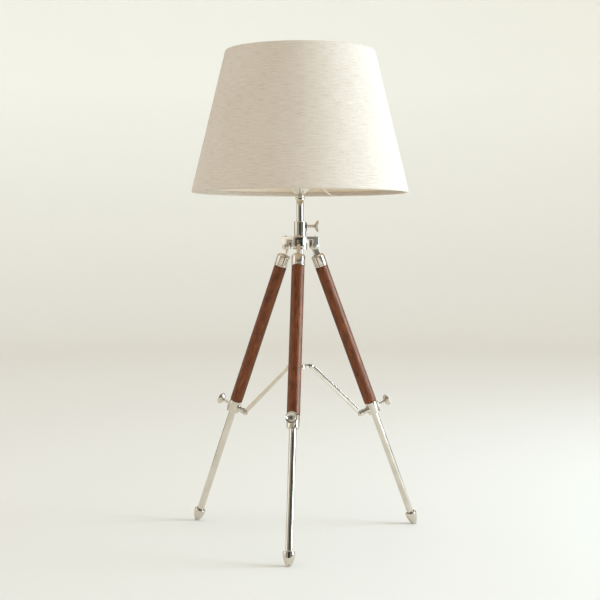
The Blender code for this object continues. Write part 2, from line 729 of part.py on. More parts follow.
def coupling_mesh():
    """Ring on the stem under the holder's dome."""
    top = COUPLING_BOTTOM + COUPLING_HEIGHT
    return tube(COUPLING_RADIUS, BORE_RADIUS, top, COUPLING_BOTTOM, SIDES_TUBE, edge=0.6 * MM)


def dome_radius(share):
    """Outer radius of the dome at a share of its height."""
    return COUPLING_RADIUS + (HOLDER_RADIUS - COUPLING_RADIUS) * (1 - (1 - share) ** DOME_SWELL)


def dome_mesh():
    """Bell-shaped cover under the holder, hollow for the wires and bored for the stem."""
    steps = 6
    shares = [1 - step / steps for step in range(steps + 1)]
    outside = [(dome_radius(share), DOME_BOTTOM + DOME_HEIGHT * share) for share in shares]
    seat = HOLDER_RADIUS - DOME_RIM
    inside = [(BORE_RADIUS, DOME_BOTTOM), (BORE_RADIUS, DOME_BOTTOM + DOME_WALL)]
    for share in (0.2, 0.4, 0.6):
        radius = min(dome_radius(share) - DOME_WALL, seat)
        inside.append((radius, DOME_BOTTOM + DOME_HEIGHT * share))
    inside.append((seat, DOME_TOP))
    return turned(outside + inside, SIDES_HOLDER, closed=True)


def skirt_mesh():
    """Threaded outer skirt of the holder, which the shade rings screw onto."""
    top = SKIRT_BOTTOM + SKIRT_HEIGHT
    return tube(HOLDER_RADIUS, HOLDER_RADIUS - SKIRT_WALL, top, SKIRT_BOTTOM, SIDES_HOLDER)


def insulator_mesh():
    """Porcelain insert that takes the bulb's cap, with a hole for the contact."""
    outer = HOLDER_RADIUS - SKIRT_WALL - GAP
    bore = CAP_RADIUS + 2 * GAP
    hole = CONTACT_STEM_RADIUS + GAP
    top = SKIRT_BOTTOM + INSULATOR_HEIGHT
    floor = SKIRT_BOTTOM + INSULATOR_FLOOR
    profile = [(outer, top), (outer, SKIRT_BOTTOM), (hole, SKIRT_BOTTOM), (hole, floor)]
    return turned(profile + [(bore, floor), (bore, top)], SIDES_TUBE, closed=True)


def contact_mesh():
    """Brass centre contact: a button on a stem that goes through the insulator's floor."""
    top = CONTACT_BOTTOM + CONTACT_THICKNESS
    foot = CONTACT_BOTTOM - INSULATOR_FLOOR
    profile = [(0.0, top), (CONTACT_RADIUS, top), (CONTACT_RADIUS, CONTACT_BOTTOM)]
    profile += [(CONTACT_STEM_RADIUS, CONTACT_BOTTOM), (CONTACT_STEM_RADIUS, foot), (0.0, foot)]
    return turned(profile, SIDES_PIN)


def shade_ring_mesh(bottom):
    """Threaded ring on the skirt; one lies under the shade's fitter and one on it."""
    outer = FITTER_BORE + SHADE_RING_WALL
    return tube(outer, FITTER_BORE, bottom + SHADE_RING_HEIGHT, bottom, SIDES_HOLDER, edge=0.8 * MM)


# Bulb


def cap_mesh():
    """Screw cap of the bulb, standing on the centre contact."""
    top = CAP_BOTTOM + CAP_HEIGHT
    shoulder = CAP_RADIUS - 2 * MM
    profile = [(0.0, top), (CAP_RADIUS, top), (CAP_RADIUS, CAP_BOTTOM + 6 * MM)]
    profile += [(shoulder, CAP_BOTTOM + 4 * MM), (CAP_TIP_RADIUS, CAP_BOTTOM + MM)]
    return turned(profile + [(CAP_TIP_RADIUS, CAP_BOTTOM), (0.0, CAP_BOTTOM)], SIDES_TUBE)


def glass_outline(inset):
    """Half outline of the bulb's glass from its top to its neck, moved in by an inset."""
    centre = GLASS_BOTTOM + BULB_HEIGHT - BULB_RADIUS
    neck = CAP_RADIUS - GAP - inset
    crown = arc((0.0, centre), BULB_RADIUS - inset, 90, -35, 6)
    crown[0] = (0.0, crown[0][1])
    return crown + [(neck + 2 * MM, GLASS_BOTTOM + 14 * MM), (neck, GLASS_BOTTOM + 5 * MM), (neck, GLASS_BOTTOM)]


def glass_mesh():
    """Frosted glass of the bulb, open at the neck."""
    return turned(glass_outline(0.0) + glass_outline(GLASS_WALL)[::-1], SIDES_TUBE)


# Shade


def shade_layer_mesh(outer_inset, thickness):
    """One layer of the tapered drum, measured in from the shade's outer face."""
    top = SHADE_TOP_RADIUS - outer_inset
    bottom = SHADE_BOTTOM_RADIUS - outer_inset
    profile = [(top, SHADE_TOP), (bottom, SHADE_BOTTOM)]
    profile += [(bottom - thickness, SHADE_BOTTOM), (top - thickness, SHADE_TOP)]
    return turned(profile, SIDES_SHADE, closed=True)


def ring_centre(height):
    """Radius at which a rim wire lies against the inside of the lining."""
    face = SHADE_BOTTOM_RADIUS - SHADE_SLOPE * (height - SHADE_BOTTOM)
    return face - FABRIC_THICKNESS - LINING_THICKNESS - 2 * GAP - 1.2 * WIRE_RADIUS


def wire_ring_mesh(height):
    """Round wire ring inside the shade at a height."""
    section = arc((ring_centre(height), height), WIRE_RADIUS, 90, 90 - 360, SIDES_WIRE)[:-1]
    return turned(section, SIDES_SHADE, closed=True)


def shade_frame_mesh():
    """Bottom ring, three bent arms and the flat fitter ring, welded into one piece."""
    ring_height = SHADE_BOTTOM + 1.2 * WIRE_RADIUS
    fitter_outer = FITTER_BORE + FITTER_WIDTH
    fitter = tube(fitter_outer, FITTER_BORE, FITTER_TOP, FITTER_BOTTOM, SIDES_HOLDER)
    middle = (FITTER_BOTTOM + FITTER_TOP) / 2
    start = fitter_outer - WIRE_RADIUS
    reach = ring_centre(ring_height) - start
    drop = middle - ring_height
    path = [(start + reach * along, 0.0, middle - drop * down)
            for along, down in ((0.0, 0.0), (0.12, 0.04), (0.5, 0.55), (0.88, 0.97), (1.0, 1.0))]
    arm = wire(path, WIRE_RADIUS)
    arms = [moved(arm, spin(SPIDER_AZIMUTH + turn)) for turn in (0.0, 120.0, 240.0)]
    return combined(wire_ring_mesh(ring_height), arms + [fitter])


# Assembly


def build_hub(axis):
    """The root: casting, sleeve, hinge pins, arm screws and the stem's clamp screw."""
    place("hub_casting", dress(hub_mesh(), "hub_nickel", NICKEL), axis)
    sleeve = dress(sleeve_mesh(), "sleeve_nickel", NICKEL)
    place("stem_sleeve", sleeve, axis, rotation=(0, 0, STEM_SCREW_AZIMUTH))
    face = BORE_RADIUS + SLEEVE_WALL + PAD_PROUD
    screw = dress(thumb_screw_mesh(STEM_RADIUS, face), "stem_screw_nickel", NICKEL)
    place(
        "stem_thumb_screw", screw, axis,
        location=(0, 0, STEM_SCREW_HEIGHT), rotation=(0, math.pi / 2, STEM_SCREW_AZIMUTH),
    )
    pin = rivet_mesh(ARM_WIDTH + 2 * GAP, PIN_RADIUS, PIN_HEAD_RADIUS, PIN_HEAD_HEIGHT)
    dress(pin, "hinge_pin_nickel", NICKEL)
    head = (ARM_SCREW_HEAD_RADIUS, ARM_SCREW_HEAD_HEIGHT)
    arm_screw = dress(screw_mesh(HUB_PLATE - MM, ARM_SCREW_RADIUS, *head), "arm_screw_nickel", NICKEL)
    for side, azimuth in LEG_AZIMUTHS.items():
        turn = math.radians(azimuth)
        outward = Vector((math.cos(turn), math.sin(turn), 0))
        pivot = PIVOT_RADIUS * outward + Vector((0, 0, PIVOT_HEIGHT))
        place(f"leg_pin_{side}", pin, axis, pivot, (math.pi / 2, 0, turn))
        top = (ARM_REACH - ARM_SCREW_INSET) * outward + Vector((0, 0, PLATE_TOP + GAP))
        place(f"arm_screw_{side}", arm_screw, axis, top)


def build_legs(axis):
    """Three legs of the same pieces, each under an empty on its hinge, and their bars."""
    crossing = (0, 0, -COLLAR_CENTRE)
    along_x = (0, math.pi / 2, 0)
    across = (math.pi / 2, 0, 0)
    bar_pivot = (-BARREL_PIVOT_REACH, 0, -COLLAR_CENTRE)
    screw_face = COLLAR_RADIUS + PAD_PROUD
    pieces = [
        ("ferrule", dress(ferrule_mesh(), "ferrule_nickel", NICKEL), (0, 0, 0), (0, 0, 0)),
        ("leg_tube", dress(leg_tube_mesh(), "leg_tube_nickel", NICKEL), (0, 0, 0), (0, 0, 0)),
        ("leather", dress(leather_mesh(), "leg_leather", LEATHER), (0, 0, 0), (0, 0, 0)),
        ("collar", dress(collar_mesh(), "collar_nickel", NICKEL), crossing, (0, 0, 0)),
        (
            "thumb_screw",
            dress(thumb_screw_mesh(LOWER_TUBE_RADIUS, screw_face), "leg_screw_nickel", NICKEL),
            crossing,
            along_x,
        ),
        ("lower_tube", dress(lower_tube_mesh(), "lower_tube_nickel", NICKEL), (0, 0, 0), (0, 0, 0)),
        ("guide_bush", dress(guide_bush_mesh(), "bush_plastic", BLACK_PLASTIC), (0, 0, 0), (0, 0, 0)),
        ("foot", dress(foot_mesh(), "foot_nickel", NICKEL), (0, 0, 0), (0, 0, 0)),
        ("bar_pin", dress(bar_pin_mesh(), "bar_pin_nickel", NICKEL), bar_pivot, across),
    ]
    bar = dress(bar_mesh(), "bar_nickel", NICKEL)
    rivet = dress(bar_rivet_mesh(), "rivet_nickel", NICKEL)
    bar_turn = bar_rise() + LEG_TILT - math.pi
    for side, azimuth in LEG_AZIMUTHS.items():
        turn = math.radians(azimuth)
        pivot = (PIVOT_RADIUS * math.cos(turn), PIVOT_RADIUS * math.sin(turn), PIVOT_HEIGHT)
        leg = empty(f"leg_{side}_hinge", axis, pivot, (0, -LEG_TILT, turn))
        for name, mesh, location, rotation in pieces:
            place(f"{name}_{side}", mesh, leg, location, rotation)
        hinge = empty(f"bar_{side}_hinge", leg, bar_pivot, (0, bar_turn, 0))
        place(f"spreader_bar_{side}", bar, hinge)
        place(f"bar_rivet_{side}", rivet, hinge, (BAR_LENGTH, 0, 0), across)


def build_centre(axis):
    """The spreader's centre piece, which slides up and down on the stem axis as the legs fold."""
    height = bar_hinge().y + BAR_LENGTH * math.sin(bar_rise())
    centre = dress(centre_mesh(), "centre_nickel", NICKEL)
    place("spreader_centre", centre, axis, (0, 0, height))


def build_head(axis):
    """Stem, holder, bulb and shade."""
    pieces = [
        ("stem_tube", stem_mesh(), "stem_nickel", NICKEL),
        ("cord_bush", cord_bush_mesh(), "cord_bush_plastic", BLACK_PLASTIC),
        ("coupling_ring", coupling_mesh(), "coupling_nickel", NICKEL),
        ("holder_dome", dome_mesh(), "dome_nickel", NICKEL),
        ("holder_skirt", skirt_mesh(), "skirt_plastic", BLACK_PLASTIC),
        ("holder_insulator", insulator_mesh(), "insulator_porcelain", PORCELAIN),
        ("holder_contact", contact_mesh(), "contact_brass", BRASS),
        (
            "shade_ring_lower",
            shade_ring_mesh(FITTER_BOTTOM - GAP - SHADE_RING_HEIGHT),
            "ring_lower_plastic",
            BLACK_PLASTIC,
        ),
        ("shade_ring_upper", shade_ring_mesh(FITTER_TOP + GAP), "ring_upper_plastic", BLACK_PLASTIC),
        ("bulb_cap", cap_mesh(), "cap_nickel", NICKEL),
        ("bulb_glass", glass_mesh(), "bulb_frosted_glass", FROSTED_GLASS),
        ("shade_frame", shade_frame_mesh(), "frame_enamel", WHITE_ENAMEL),
        ("shade_top_wire", wire_ring_mesh(SHADE_TOP - 1.2 * WIRE_RADIUS), "wire_enamel", WHITE_ENAMEL),
        (
            "shade_lining",
            shade_layer_mesh(FABRIC_THICKNESS + GAP, LINING_THICKNESS),
            "shade_lining_sheet",
            LINING,
        ),
        ("shade_fabric", shade_layer_mesh(0.0, FABRIC_THICKNESS), "shade_linen", LINEN),
    ]
    for name, mesh, material, finish in pieces:
        place(name, dress(mesh, material, finish), axis)


def main():
    """Build the lamp from an empty scene."""
    clear_scene()
    new_collection("tripod_lamp")
    new_collection("cutters")
    axis = empty("stem_axis", None, (0, STEM_Y, 0))
    build_hub(axis)
    build_legs(axis)
    build_centre(axis)
    build_head(axis)


main()
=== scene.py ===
"""Looks of a folding tripod table lamp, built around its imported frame.

Lengths are in metres, +Z is up and the lamp stands on z = 0 with one leg towards the front (-Y).
Pieces of the head, the hub and the spreader are made around the stem axis, and pieces of a leg
in that leg's own axes: the origin on its hinge, -Z down the leg, +X outwards and +Y across.
"""

import json
import logging
import math
from collections.abc import Callable, Sequence
from dataclasses import dataclass
from enum import Enum
from typing import ClassVar

import bmesh
import bpy
from mathutils import Matrix, Vector, noise

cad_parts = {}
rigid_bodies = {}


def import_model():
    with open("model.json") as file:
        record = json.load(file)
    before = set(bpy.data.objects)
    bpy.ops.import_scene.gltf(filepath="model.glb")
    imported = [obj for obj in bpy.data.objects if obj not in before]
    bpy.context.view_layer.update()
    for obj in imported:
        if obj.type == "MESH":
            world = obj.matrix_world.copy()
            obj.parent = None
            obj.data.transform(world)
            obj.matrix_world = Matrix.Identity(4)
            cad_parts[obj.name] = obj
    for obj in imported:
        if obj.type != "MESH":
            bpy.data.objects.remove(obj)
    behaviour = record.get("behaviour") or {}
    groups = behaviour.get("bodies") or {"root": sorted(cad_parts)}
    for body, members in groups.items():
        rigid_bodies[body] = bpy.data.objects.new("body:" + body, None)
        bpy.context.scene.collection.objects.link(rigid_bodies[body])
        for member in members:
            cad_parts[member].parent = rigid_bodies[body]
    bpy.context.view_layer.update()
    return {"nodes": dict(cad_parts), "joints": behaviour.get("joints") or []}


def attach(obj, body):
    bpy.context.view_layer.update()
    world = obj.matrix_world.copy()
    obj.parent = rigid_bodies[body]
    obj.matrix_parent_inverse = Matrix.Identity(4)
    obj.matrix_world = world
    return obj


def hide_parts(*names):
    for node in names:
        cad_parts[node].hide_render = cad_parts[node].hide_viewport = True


for leftover in list(bpy.data.objects):
    bpy.data.objects.remove(leftover, do_unlink=True)

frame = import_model()
JOINTS = {joint["name"]: joint for joint in frame["joints"]}
MM = 0.001
LOG = logging.getLogger("tripod_lamp")

Outline = list[tuple[float, float]]
Colour = tuple[float, float, float]
Shift = Callable[[float, float, float], float]


class Side(Enum):
    """The three legs, named from the front of the lamp."""

    FRONT = "front"
    RIGHT = "right"
    LEFT = "left"


class Sides(Enum):
    """How many flat sides stand for a full turn."""

    WIDE = 240
    FINE = 96
    ROUND = 48
    SMALL = 32


# Reading the frame


def stem_axis() -> Matrix:
    """The stem axis as a matrix that keeps heights as they are."""
    place = JOINTS["head_swivel"]["pos_m"]
    return Matrix.Translation((place[0], place[1], 0.0))


def span(node: str, axes: Matrix) -> tuple[Vector, Vector]:
    """Measure a frame node along some axes.

    Args:
        node: name of the frame's node.
        axes: matrix of the axes, in the frame.

    Returns:
        The lowest and the highest corner, along those axes.
    """
    turn = axes.inverted()
    points = [turn @ vertex.co for vertex in frame["nodes"][node].data.vertices]
    low = Vector(min(point[way] for point in points) for way in range(3))
    high = Vector(max(point[way] for point in points) for way in range(3))
    return low, high


def middle(node: str) -> Vector:
    """The average of a frame node's vertices, which lies on the axis of a turned piece."""
    vertices = frame["nodes"][node].data.vertices
    return sum((vertex.co for vertex in vertices), Vector()) / len(vertices)


def leg_axes(side: Side) -> Matrix:
    """Find a leg's own axes from its joints.

    Args:
        side: which leg.

    Returns:
        The matrix from the leg's axes to the frame.
    """
    up = -Vector(JOINTS[f"lower_leg_{side.value}_slide"]["axis"]).normalized()
    out = Vector(JOINTS[f"leg_screw_{side.value}_turn"]["axis"]).normalized()
    turn = Matrix((out, up.cross(out), up)).transposed().to_4x4()
    return Matrix.Translation(JOINTS[f"leg_{side.value}_fold"]["pos_m"]) @ turn


def bar_axes(side: Side) -> tuple[Matrix, float]:
    """Find a spreader bar's own axes, with +X along the bar from its hinge.

    Args:
        side: which leg the bar hangs on.

    Returns:
        The matrix from the bar's axes to the frame, and the distance between its holes.
    """
    start = Vector(JOINTS[f"bar_{side.value}_fold"]["pos_m"])
    across = leg_axes(side).col[1].to_3d()
    along = middle(f"bar_rivet_{side.value}") - start
    along -= along.dot(across) * across
    length = along.length
    along.normalize()
    turn = Matrix((along, across, along.cross(across))).transposed().to_4x4()
    return Matrix.Translation(start) @ turn, length


# Outlines


def arc(centre: tuple[float, float], radius: float, start: float, end: float, steps: int) -> Outline:
    """Draw an arc.

    Args:
        centre: its centre.
        radius: its radius.
        start: angle of its first point, in degrees from the first axis.
        end: angle of its last point, in degrees.
        steps: how many straight steps it has.

    Returns:
        Its points.
    """
    angles = [math.radians(start + (end - start) * step / steps) for step in range(steps + 1)]
    return [(centre[0] + radius * math.cos(a), centre[1] + radius * math.sin(a)) for a in angles]


def soften(corners: Outline, edge: float, closed: bool = False, steps: int = 4) -> Outline:
    """Round the corners of an outline; nearly straight ones stay as they are.

    Args:
        corners: the outline's points.
        edge: how far a corner is cut back along each side.
        closed: whether the last point joins the first.
        steps: straight steps in each rounded corner.

    Returns:
        The outline with its corners rounded.
    """
    soft: Outline = []
    last = len(corners) - 1
    for index, corner in enumerate(corners):
        here = Vector(corner)
        back = Vector(corners[index - 1]) - here
        ahead = Vector(corners[(index + 1) % len(corners)]) - here
        at_end = not closed and index in (0, last)
        if at_end or back.angle(ahead) > math.radians(160):
            soft.append(corner)
            continue
        reach = min(edge, 0.45 * back.length, 0.45 * ahead.length)
        first = here + back.normalized() * reach
        final = here + ahead.normalized() * reach
        for step in range(steps + 1):
            share = step / steps
            point = first * (1 - share) ** 2 + here * (2 * share * (1 - share)) + final * share**2
            soft.append((point.x, point.y))
    return soft


def around(sides: Sides) -> list[float]:
    """Evenly spaced angles for a full turn."""
    return [2 * math.pi * step / sides.value for step in range(sides.value)]


# Meshes


def finished(work: bmesh.types.BMesh, sharp: float = 38.0) -> bpy.types.Mesh:
    """Turn a working mesh into a smooth-shaded one.

    Args:
        work: the working mesh, which is freed.
        sharp: the angle in degrees from which an edge stays sharp.

    Returns:
        The mesh.
    """
    bmesh.ops.remove_doubles(work, verts=work.verts, dist=0.001 * MM)
    bmesh.ops.recalc_face_normals(work, faces=work.faces)
    mesh = bpy.data.meshes.new("shape")
    work.to_mesh(mesh)
    work.free()
    mesh.shade_smooth()
    mesh.set_sharp_from_angle(angle=math.radians(sharp))
    return mesh


def spun(
    section: Outline,
    angles: Sequence[float],
    shift: Shift | None = None,
    closed: bool = False,
) -> bpy.types.Mesh:
    """Turn a section of (radius, height) points about the Z axis.

    Args:
        section: its points; one on the axis closes the end.
        angles: the angles at which the section stands.
        shift: gives how far a point moves outwards, from its angle, radius and height.
        closed: whether the section is a closed loop.

    Returns:
        The turned mesh.
    """
    work = bmesh.new()
    rings = []
    for radius, height in section:
        if radius < 1e-7:
            rings.append([work.verts.new((0.0, 0.0, height))] * len(angles))
            continue
        ring = []
        for angle in angles:
            reach = radius + (shift(angle, radius, height) if shift else 0.0)
            ring.append(work.verts.new((reach * math.cos(angle), reach * math.sin(angle), height)))
        rings.append(ring)
    pairs = list(zip(rings, rings[1:]))
    if closed:
        pairs.append((rings[-1], rings[0]))
    for upper, lower in pairs:
        for index in range(len(angles)):
            after = (index + 1) % len(angles)
            corners = dict.fromkeys((upper[index], upper[after], lower[after], lower[index]))
            if len(corners) > 2:
                work.faces.new(list(corners))
    return finished(work)


def ring(outer: float, inner: float, low: float, high: float, edge: float, sides: Sides) -> bpy.types.Mesh:
    """Make a straight tube with rounded edges.

    Args:
        outer: outer radius.
        inner: inner radius.
        low: height of its lower end.
        high: height of its upper end.
        edge: size of the rounded edges.
        sides: how round it is.

    Returns:
        The tube's mesh.
    """
    section = soften([(outer, high), (outer, low), (inner, low), (inner, high)], edge, closed=True)
    return spun(section, around(sides), closed=True)


def rod(
    start: Sequence[float], end: Sequence[float], radius: float, edge: float, sides: Sides
) -> bpy.types.Mesh:
    """Make a solid rod with rounded ends.

    Args:
        start: middle of one end.
        end: middle of the other end.
        radius: its radius.
        edge: size of the rounded edges.
        sides: how round it is.

    Returns:
        The rod's mesh.
    """
    way = Vector(end) - Vector(start)
    half = way.length / 2
    section = soften([(0.0, half), (radius, half), (radius, -half), (0.0, -half)], edge)
    mesh = spun(section, around(sides))
    turn = Vector((0, 0, 1)).rotation_difference(way).to_matrix().to_4x4()
    mesh.transform(Matrix.Translation((Vector(start) + Vector(end)) / 2) @ turn)
    return mesh


def block(low: Sequence[float], high: Sequence[float], edge: float) -> bpy.types.Mesh:
    """Make a block with rounded edges.

    Args:
        low: its lowest corner.
        high: its highest corner.
        edge: size of the rounded edges.

    Returns:
        The block's mesh.
    """
    work = bmesh.new()
    size = Matrix.Diagonal((Vector(high) - Vector(low)).to_4d())
    centre = Matrix.Translation((Vector(low) + Vector(high)) / 2)
    bmesh.ops.create_cube(work, size=1.0, matrix=centre @ size)
    if edge > 0.0:
        bmesh.ops.bevel(
            work, geom=work.edges[:], offset=edge, segments=3, profile=0.5, affect="EDGES"
        )
    return finished(work)


def plate(outline: Outline, thickness: float, edge: float, offset: float = 0.0) -> bpy.types.Mesh:
    """Make a flat plate that stands in the XZ plane, with rounded rims.

    Args:
        outline: its outline as (x, z) points.
        thickness: its thickness along Y.
        edge: size of the rounded rims.
        offset: where its middle lies along Y.

    Returns:
        The plate's mesh.
    """
    work = bmesh.new()
    face = work.faces.new([work.verts.new((x, offset - thickness / 2, z)) for x, z in outline])
    grown = bmesh.ops.extrude_face_region(work, geom=[face])
    moved = [item for item in grown["geom"] if isinstance(item, bmesh.types.BMVert)]
    bmesh.ops.translate(work, verts=moved, vec=(0.0, thickness, 0.0))
    rims = [one for one in work.edges if abs(one.verts[0].co.y - one.verts[1].co.y) < 1e-6]
    bmesh.ops.bevel(work, geom=rims, offset=edge, segments=3, profile=0.5, affect="EDGES")
    return finished(work)


def slab(start: tuple[float, float], end: tuple[float, float], radius: float) -> Outline:
    """Outline of a flat bar with round ends.

    Args:
        start: centre of one end.
        end: centre of the other end.
        radius: radius of both ends.

    Returns:
        The closed outline's points.
    """
    heading = math.degrees(math.atan2(end[1] - start[1], end[0] - start[0]))
    return arc(end, radius, heading - 90, heading + 90, 16) + arc(
        start, radius, heading + 90, heading + 270, 16
    )


def wires(paths: Sequence[Sequence[Vector]], radius: float, round_steps: int = 3) -> bpy.types.Mesh:
    """Make bent wires or threads along paths.

    Args:
        paths: the points of each wire.
        radius: the wires' radius.
        round_steps: how finely the wires' section is rounded.

    Returns:
        One mesh with all the wires.
    """
    curve = bpy.data.curves.new("wires", "CURVE")
    curve.dimensions = "3D"
    curve.bevel_depth = radius
    curve.bevel_resolution = round_steps
    curve.use_fill_caps = True
    for path in paths:
        spline = curve.splines.new("POLY")
        spline.points.add(len(path) - 1)
        for point, place in zip(spline.points, path):
            point.co = (*place, 1.0)
    return baked(bench(curve))


def smooth_path(corners: Sequence[Vector], steps: int = 8) -> list[Vector]:
    """Draw a smooth path through some points.

    Args:
        corners: the points.
        steps: steps between two of them.

    Returns:
        The path's points.
    """
    ends = [2 * corners[0] - corners[1], *corners, 2 * corners[-1] - corners[-2]]
    path = []
    for before, start, end, after in zip(ends, ends[1:], ends[2:], ends[3:]):
        for step in range(steps):
            t = step / steps
            path.append(
                0.5
                * (
                    2 * start
                    + (end - before) * t
                    + (2 * before - 5 * start + 4 * end - after) * t**2
                    + (3 * start - before - 3 * end + after) * t**3
                )
            )
    return path + [corners[-1].copy()]


def bench(data: bpy.types.ID) -> bpy.types.Object:
    """A working object for a shape that is still being made.

    Args:
        data: the mesh or curve that it shows.

    Returns:
        The object, linked to the scene.
    """
    obj = bpy.data.objects.new("bench", data)
    bpy.context.scene.collection.objects.link(obj)
    return obj


def baked(obj: bpy.types.Object) -> bpy.types.Mesh:
    """Take a working object's mesh as its modifiers leave it, and remove the object.

    Args:
        obj: the working object.

    Returns:
        Its final mesh.
    """
    bpy.context.view_layer.update()
    graph = bpy.context.evaluated_depsgraph_get()
    mesh = bpy.data.meshes.new_from_object(obj.evaluated_get(graph))
    bpy.data.objects.remove(obj, do_unlink=True)
    work = bmesh.new()
    work.from_mesh(mesh)
    bmesh.ops.triangulate(work, faces=[face for face in work.faces if len(face.verts) > 4])
    return finished(work)


def combined(
    base: bpy.types.Mesh,
    joined: Sequence[bpy.types.Mesh] = (),
    cut: Sequence[bpy.types.Mesh] = (),
) -> bpy.types.Mesh:
    """Join some closed shapes and cut others away.

    Args:
        base: the first shape.
        joined: shapes that are joined to it.
        cut: shapes that are then cut away.

    Returns:
        The resulting mesh.
    """
    body = bench(base)
    helpers = []
    for operation, shapes in (("UNION", joined), ("DIFFERENCE", cut)):
        for shape in shapes:
            helper = bench(shape)
            helpers.append(helper)
            boolean = body.modifiers.new(operation.lower(), "BOOLEAN")
            boolean.operation = operation
            boolean.object = helper
    mesh = baked(body)
    for helper in helpers:
        bpy.data.objects.remove(helper, do_unlink=True)
    return mesh


def moved(mesh: bpy.types.Mesh, matrix: Matrix) -> bpy.types.Mesh:
    """Copy a mesh and move the copy.

    Args:
        mesh: the mesh to copy.
        matrix: where the copy goes.

    Returns:
        The moved copy.
    """
    copy = mesh.copy()
    copy.transform(matrix)
    return copy


def spin(degrees: float) -> Matrix:
    """A turn about the Z axis."""
    return Matrix.Rotation(math.radians(degrees), 4, "Z")


# Finishes


class Graph:
    """Builds the node tree of one material."""

    def __init__(self, name: str) -> None:
        """Start a material with a Principled shader.

        Args:
            name: the material's name.
        """
        self.material = bpy.data.materials.new(name)
        self.material.use_nodes = True
        self.tree = self.material.node_tree
        self.shader = self.tree.nodes["Principled BSDF"]
        self.places = self.node("ShaderNodeTexCoord").outputs["Object"]

    def node(self, kind: str, **settings: object) -> bpy.types.Node:
        """Add a node.

        Args:
            kind: the node's type.
            **settings: its properties.

        Returns:
            The node.
        """
        made = self.tree.nodes.new(kind)
        for key, value in settings.items():
            setattr(made, key, value)
        return made

    def feed(self, socket: bpy.types.NodeSocket, value: object) -> None:
        """Link a socket to another, or set its value.

        Args:
            socket: the input to feed.
            value: an output socket, or a plain value.
        """
        if isinstance(value, bpy.types.NodeSocket):
            self.tree.links.new(value, socket)
        else:
            socket.default_value = value

    def set(self, **values: object) -> None:
        """Feed the shader's sockets, named with underscores for spaces."""
        for key, value in values.items():
            self.feed(self.shader.inputs[key.replace("_", " ")], value)

    def sum(self, operation: str, first: object, second: object = 0.0) -> bpy.types.NodeSocket:
        """Add a Math node.

        Args:
            operation: what it works out.
            first: its first value or socket.
            second: its second value or socket.

        Returns:
            The result's socket.
        """
        made = self.node("ShaderNodeMath", operation=operation)
        self.feed(made.inputs[0], first)
        self.feed(made.inputs[1], second)
        return made.outputs[0]

    def parts(self) -> tuple[bpy.types.NodeSocket, bpy.types.NodeSocket, bpy.types.NodeSocket]:
        """The piece's own places, taken apart.

        Returns:
            Its x, y and z as sockets.
        """
        made = self.node("ShaderNodeSeparateXYZ")
        self.feed(made.inputs[0], self.places)
        return made.outputs[0], made.outputs[1], made.outputs[2]

    def stretched(self, vector: bpy.types.NodeSocket, rates: Colour) -> bpy.types.NodeSocket:
        """Multiply each part of a vector by its own rate.

        Args:
            vector: the places to stretch.
            rates: repeats a metre along x, y and z.

        Returns:
            The stretched places.
        """
        made = self.node("ShaderNodeVectorMath", operation="MULTIPLY")
        self.feed(made.inputs[0], vector)
        made.inputs[1].default_value = rates
        return made.outputs[0]

    def noise(
        self, vector: bpy.types.NodeSocket, rates: Colour, detail: float = 2.0
    ) -> bpy.types.NodeSocket:
        """Soft noise from 0 to 1.

        Args:
            vector: where it is read.
            rates: repeats a metre along each axis.
            detail: how many finer layers it has.

        Returns:
            The noise's socket.
        """
        made = self.node("ShaderNodeTexNoise")
        self.feed(made.inputs["Vector"], self.stretched(vector, rates))
        made.inputs["Scale"].default_value = 1.0
        made.inputs["Detail"].default_value = detail
        return made.outputs[0]

    def cells(self, vector: bpy.types.NodeSocket, rates: Colour) -> bpy.types.NodeSocket:
        """Scatter cells for grain and pores.

        Args:
            vector: the places to fill.
            rates: cells a metre along x, y and z.

        Returns:
            Distance to the nearest border between cells.
        """
        made = self.node("ShaderNodeTexVoronoi", feature="DISTANCE_TO_EDGE")
        self.feed(made.inputs["Vector"], self.stretched(vector, rates))
        made.inputs["Scale"].default_value = 1.0
        return made.outputs["Distance"]

    def spread(
        self, value: bpy.types.NodeSocket, low: float, high: float, start: float = 0.0, end: float = 1.0
    ) -> bpy.types.NodeSocket:
        """Map a value from one range to another, without going past its ends.

        Args:
            value: the value's socket.
            low: the value that gives start.
            high: the value that gives end.
            start: the result at low.
            end: the result at high.

        Returns:
            The result's socket.
        """
        made = self.node("ShaderNodeMapRange")
        for index, given in enumerate((value, low, high, start, end)):
            self.feed(made.inputs[index], given)
        return made.outputs[0]

    def blend(self, share: object, first: object, second: object) -> bpy.types.NodeSocket:
        """Blend two colours.

        Args:
            share: how much of the second shows.
            first: a colour or its socket.
            second: a colour or its socket.

        Returns:
            The blended colour's socket.
        """
        made = self.node("ShaderNodeMix", data_type="RGBA")
        self.feed(made.inputs[0], share)
        for index, given in ((6, first), (7, second)):
            self.feed(made.inputs[index], (*given, 1.0) if isinstance(given, tuple) else given)
        return made.outputs[2]

    def relief(
        self, height: bpy.types.NodeSocket, depth: float, under: bpy.types.NodeSocket | None = None
    ) -> bpy.types.NodeSocket:
        """Turn heights from 0 to 1 into a bump.

        Args:
            height: the heights' socket.
            depth: how deep a height of 1 is.
            under: a bump that this one lies on.

        Returns:
            The normal's socket.
        """
        made = self.node("ShaderNodeBump")
        self.feed(made.inputs["Height"], height)
        made.inputs["Distance"].default_value = depth
        if under:
            self.feed(made.inputs["Normal"], under)
        return made.outputs[0]


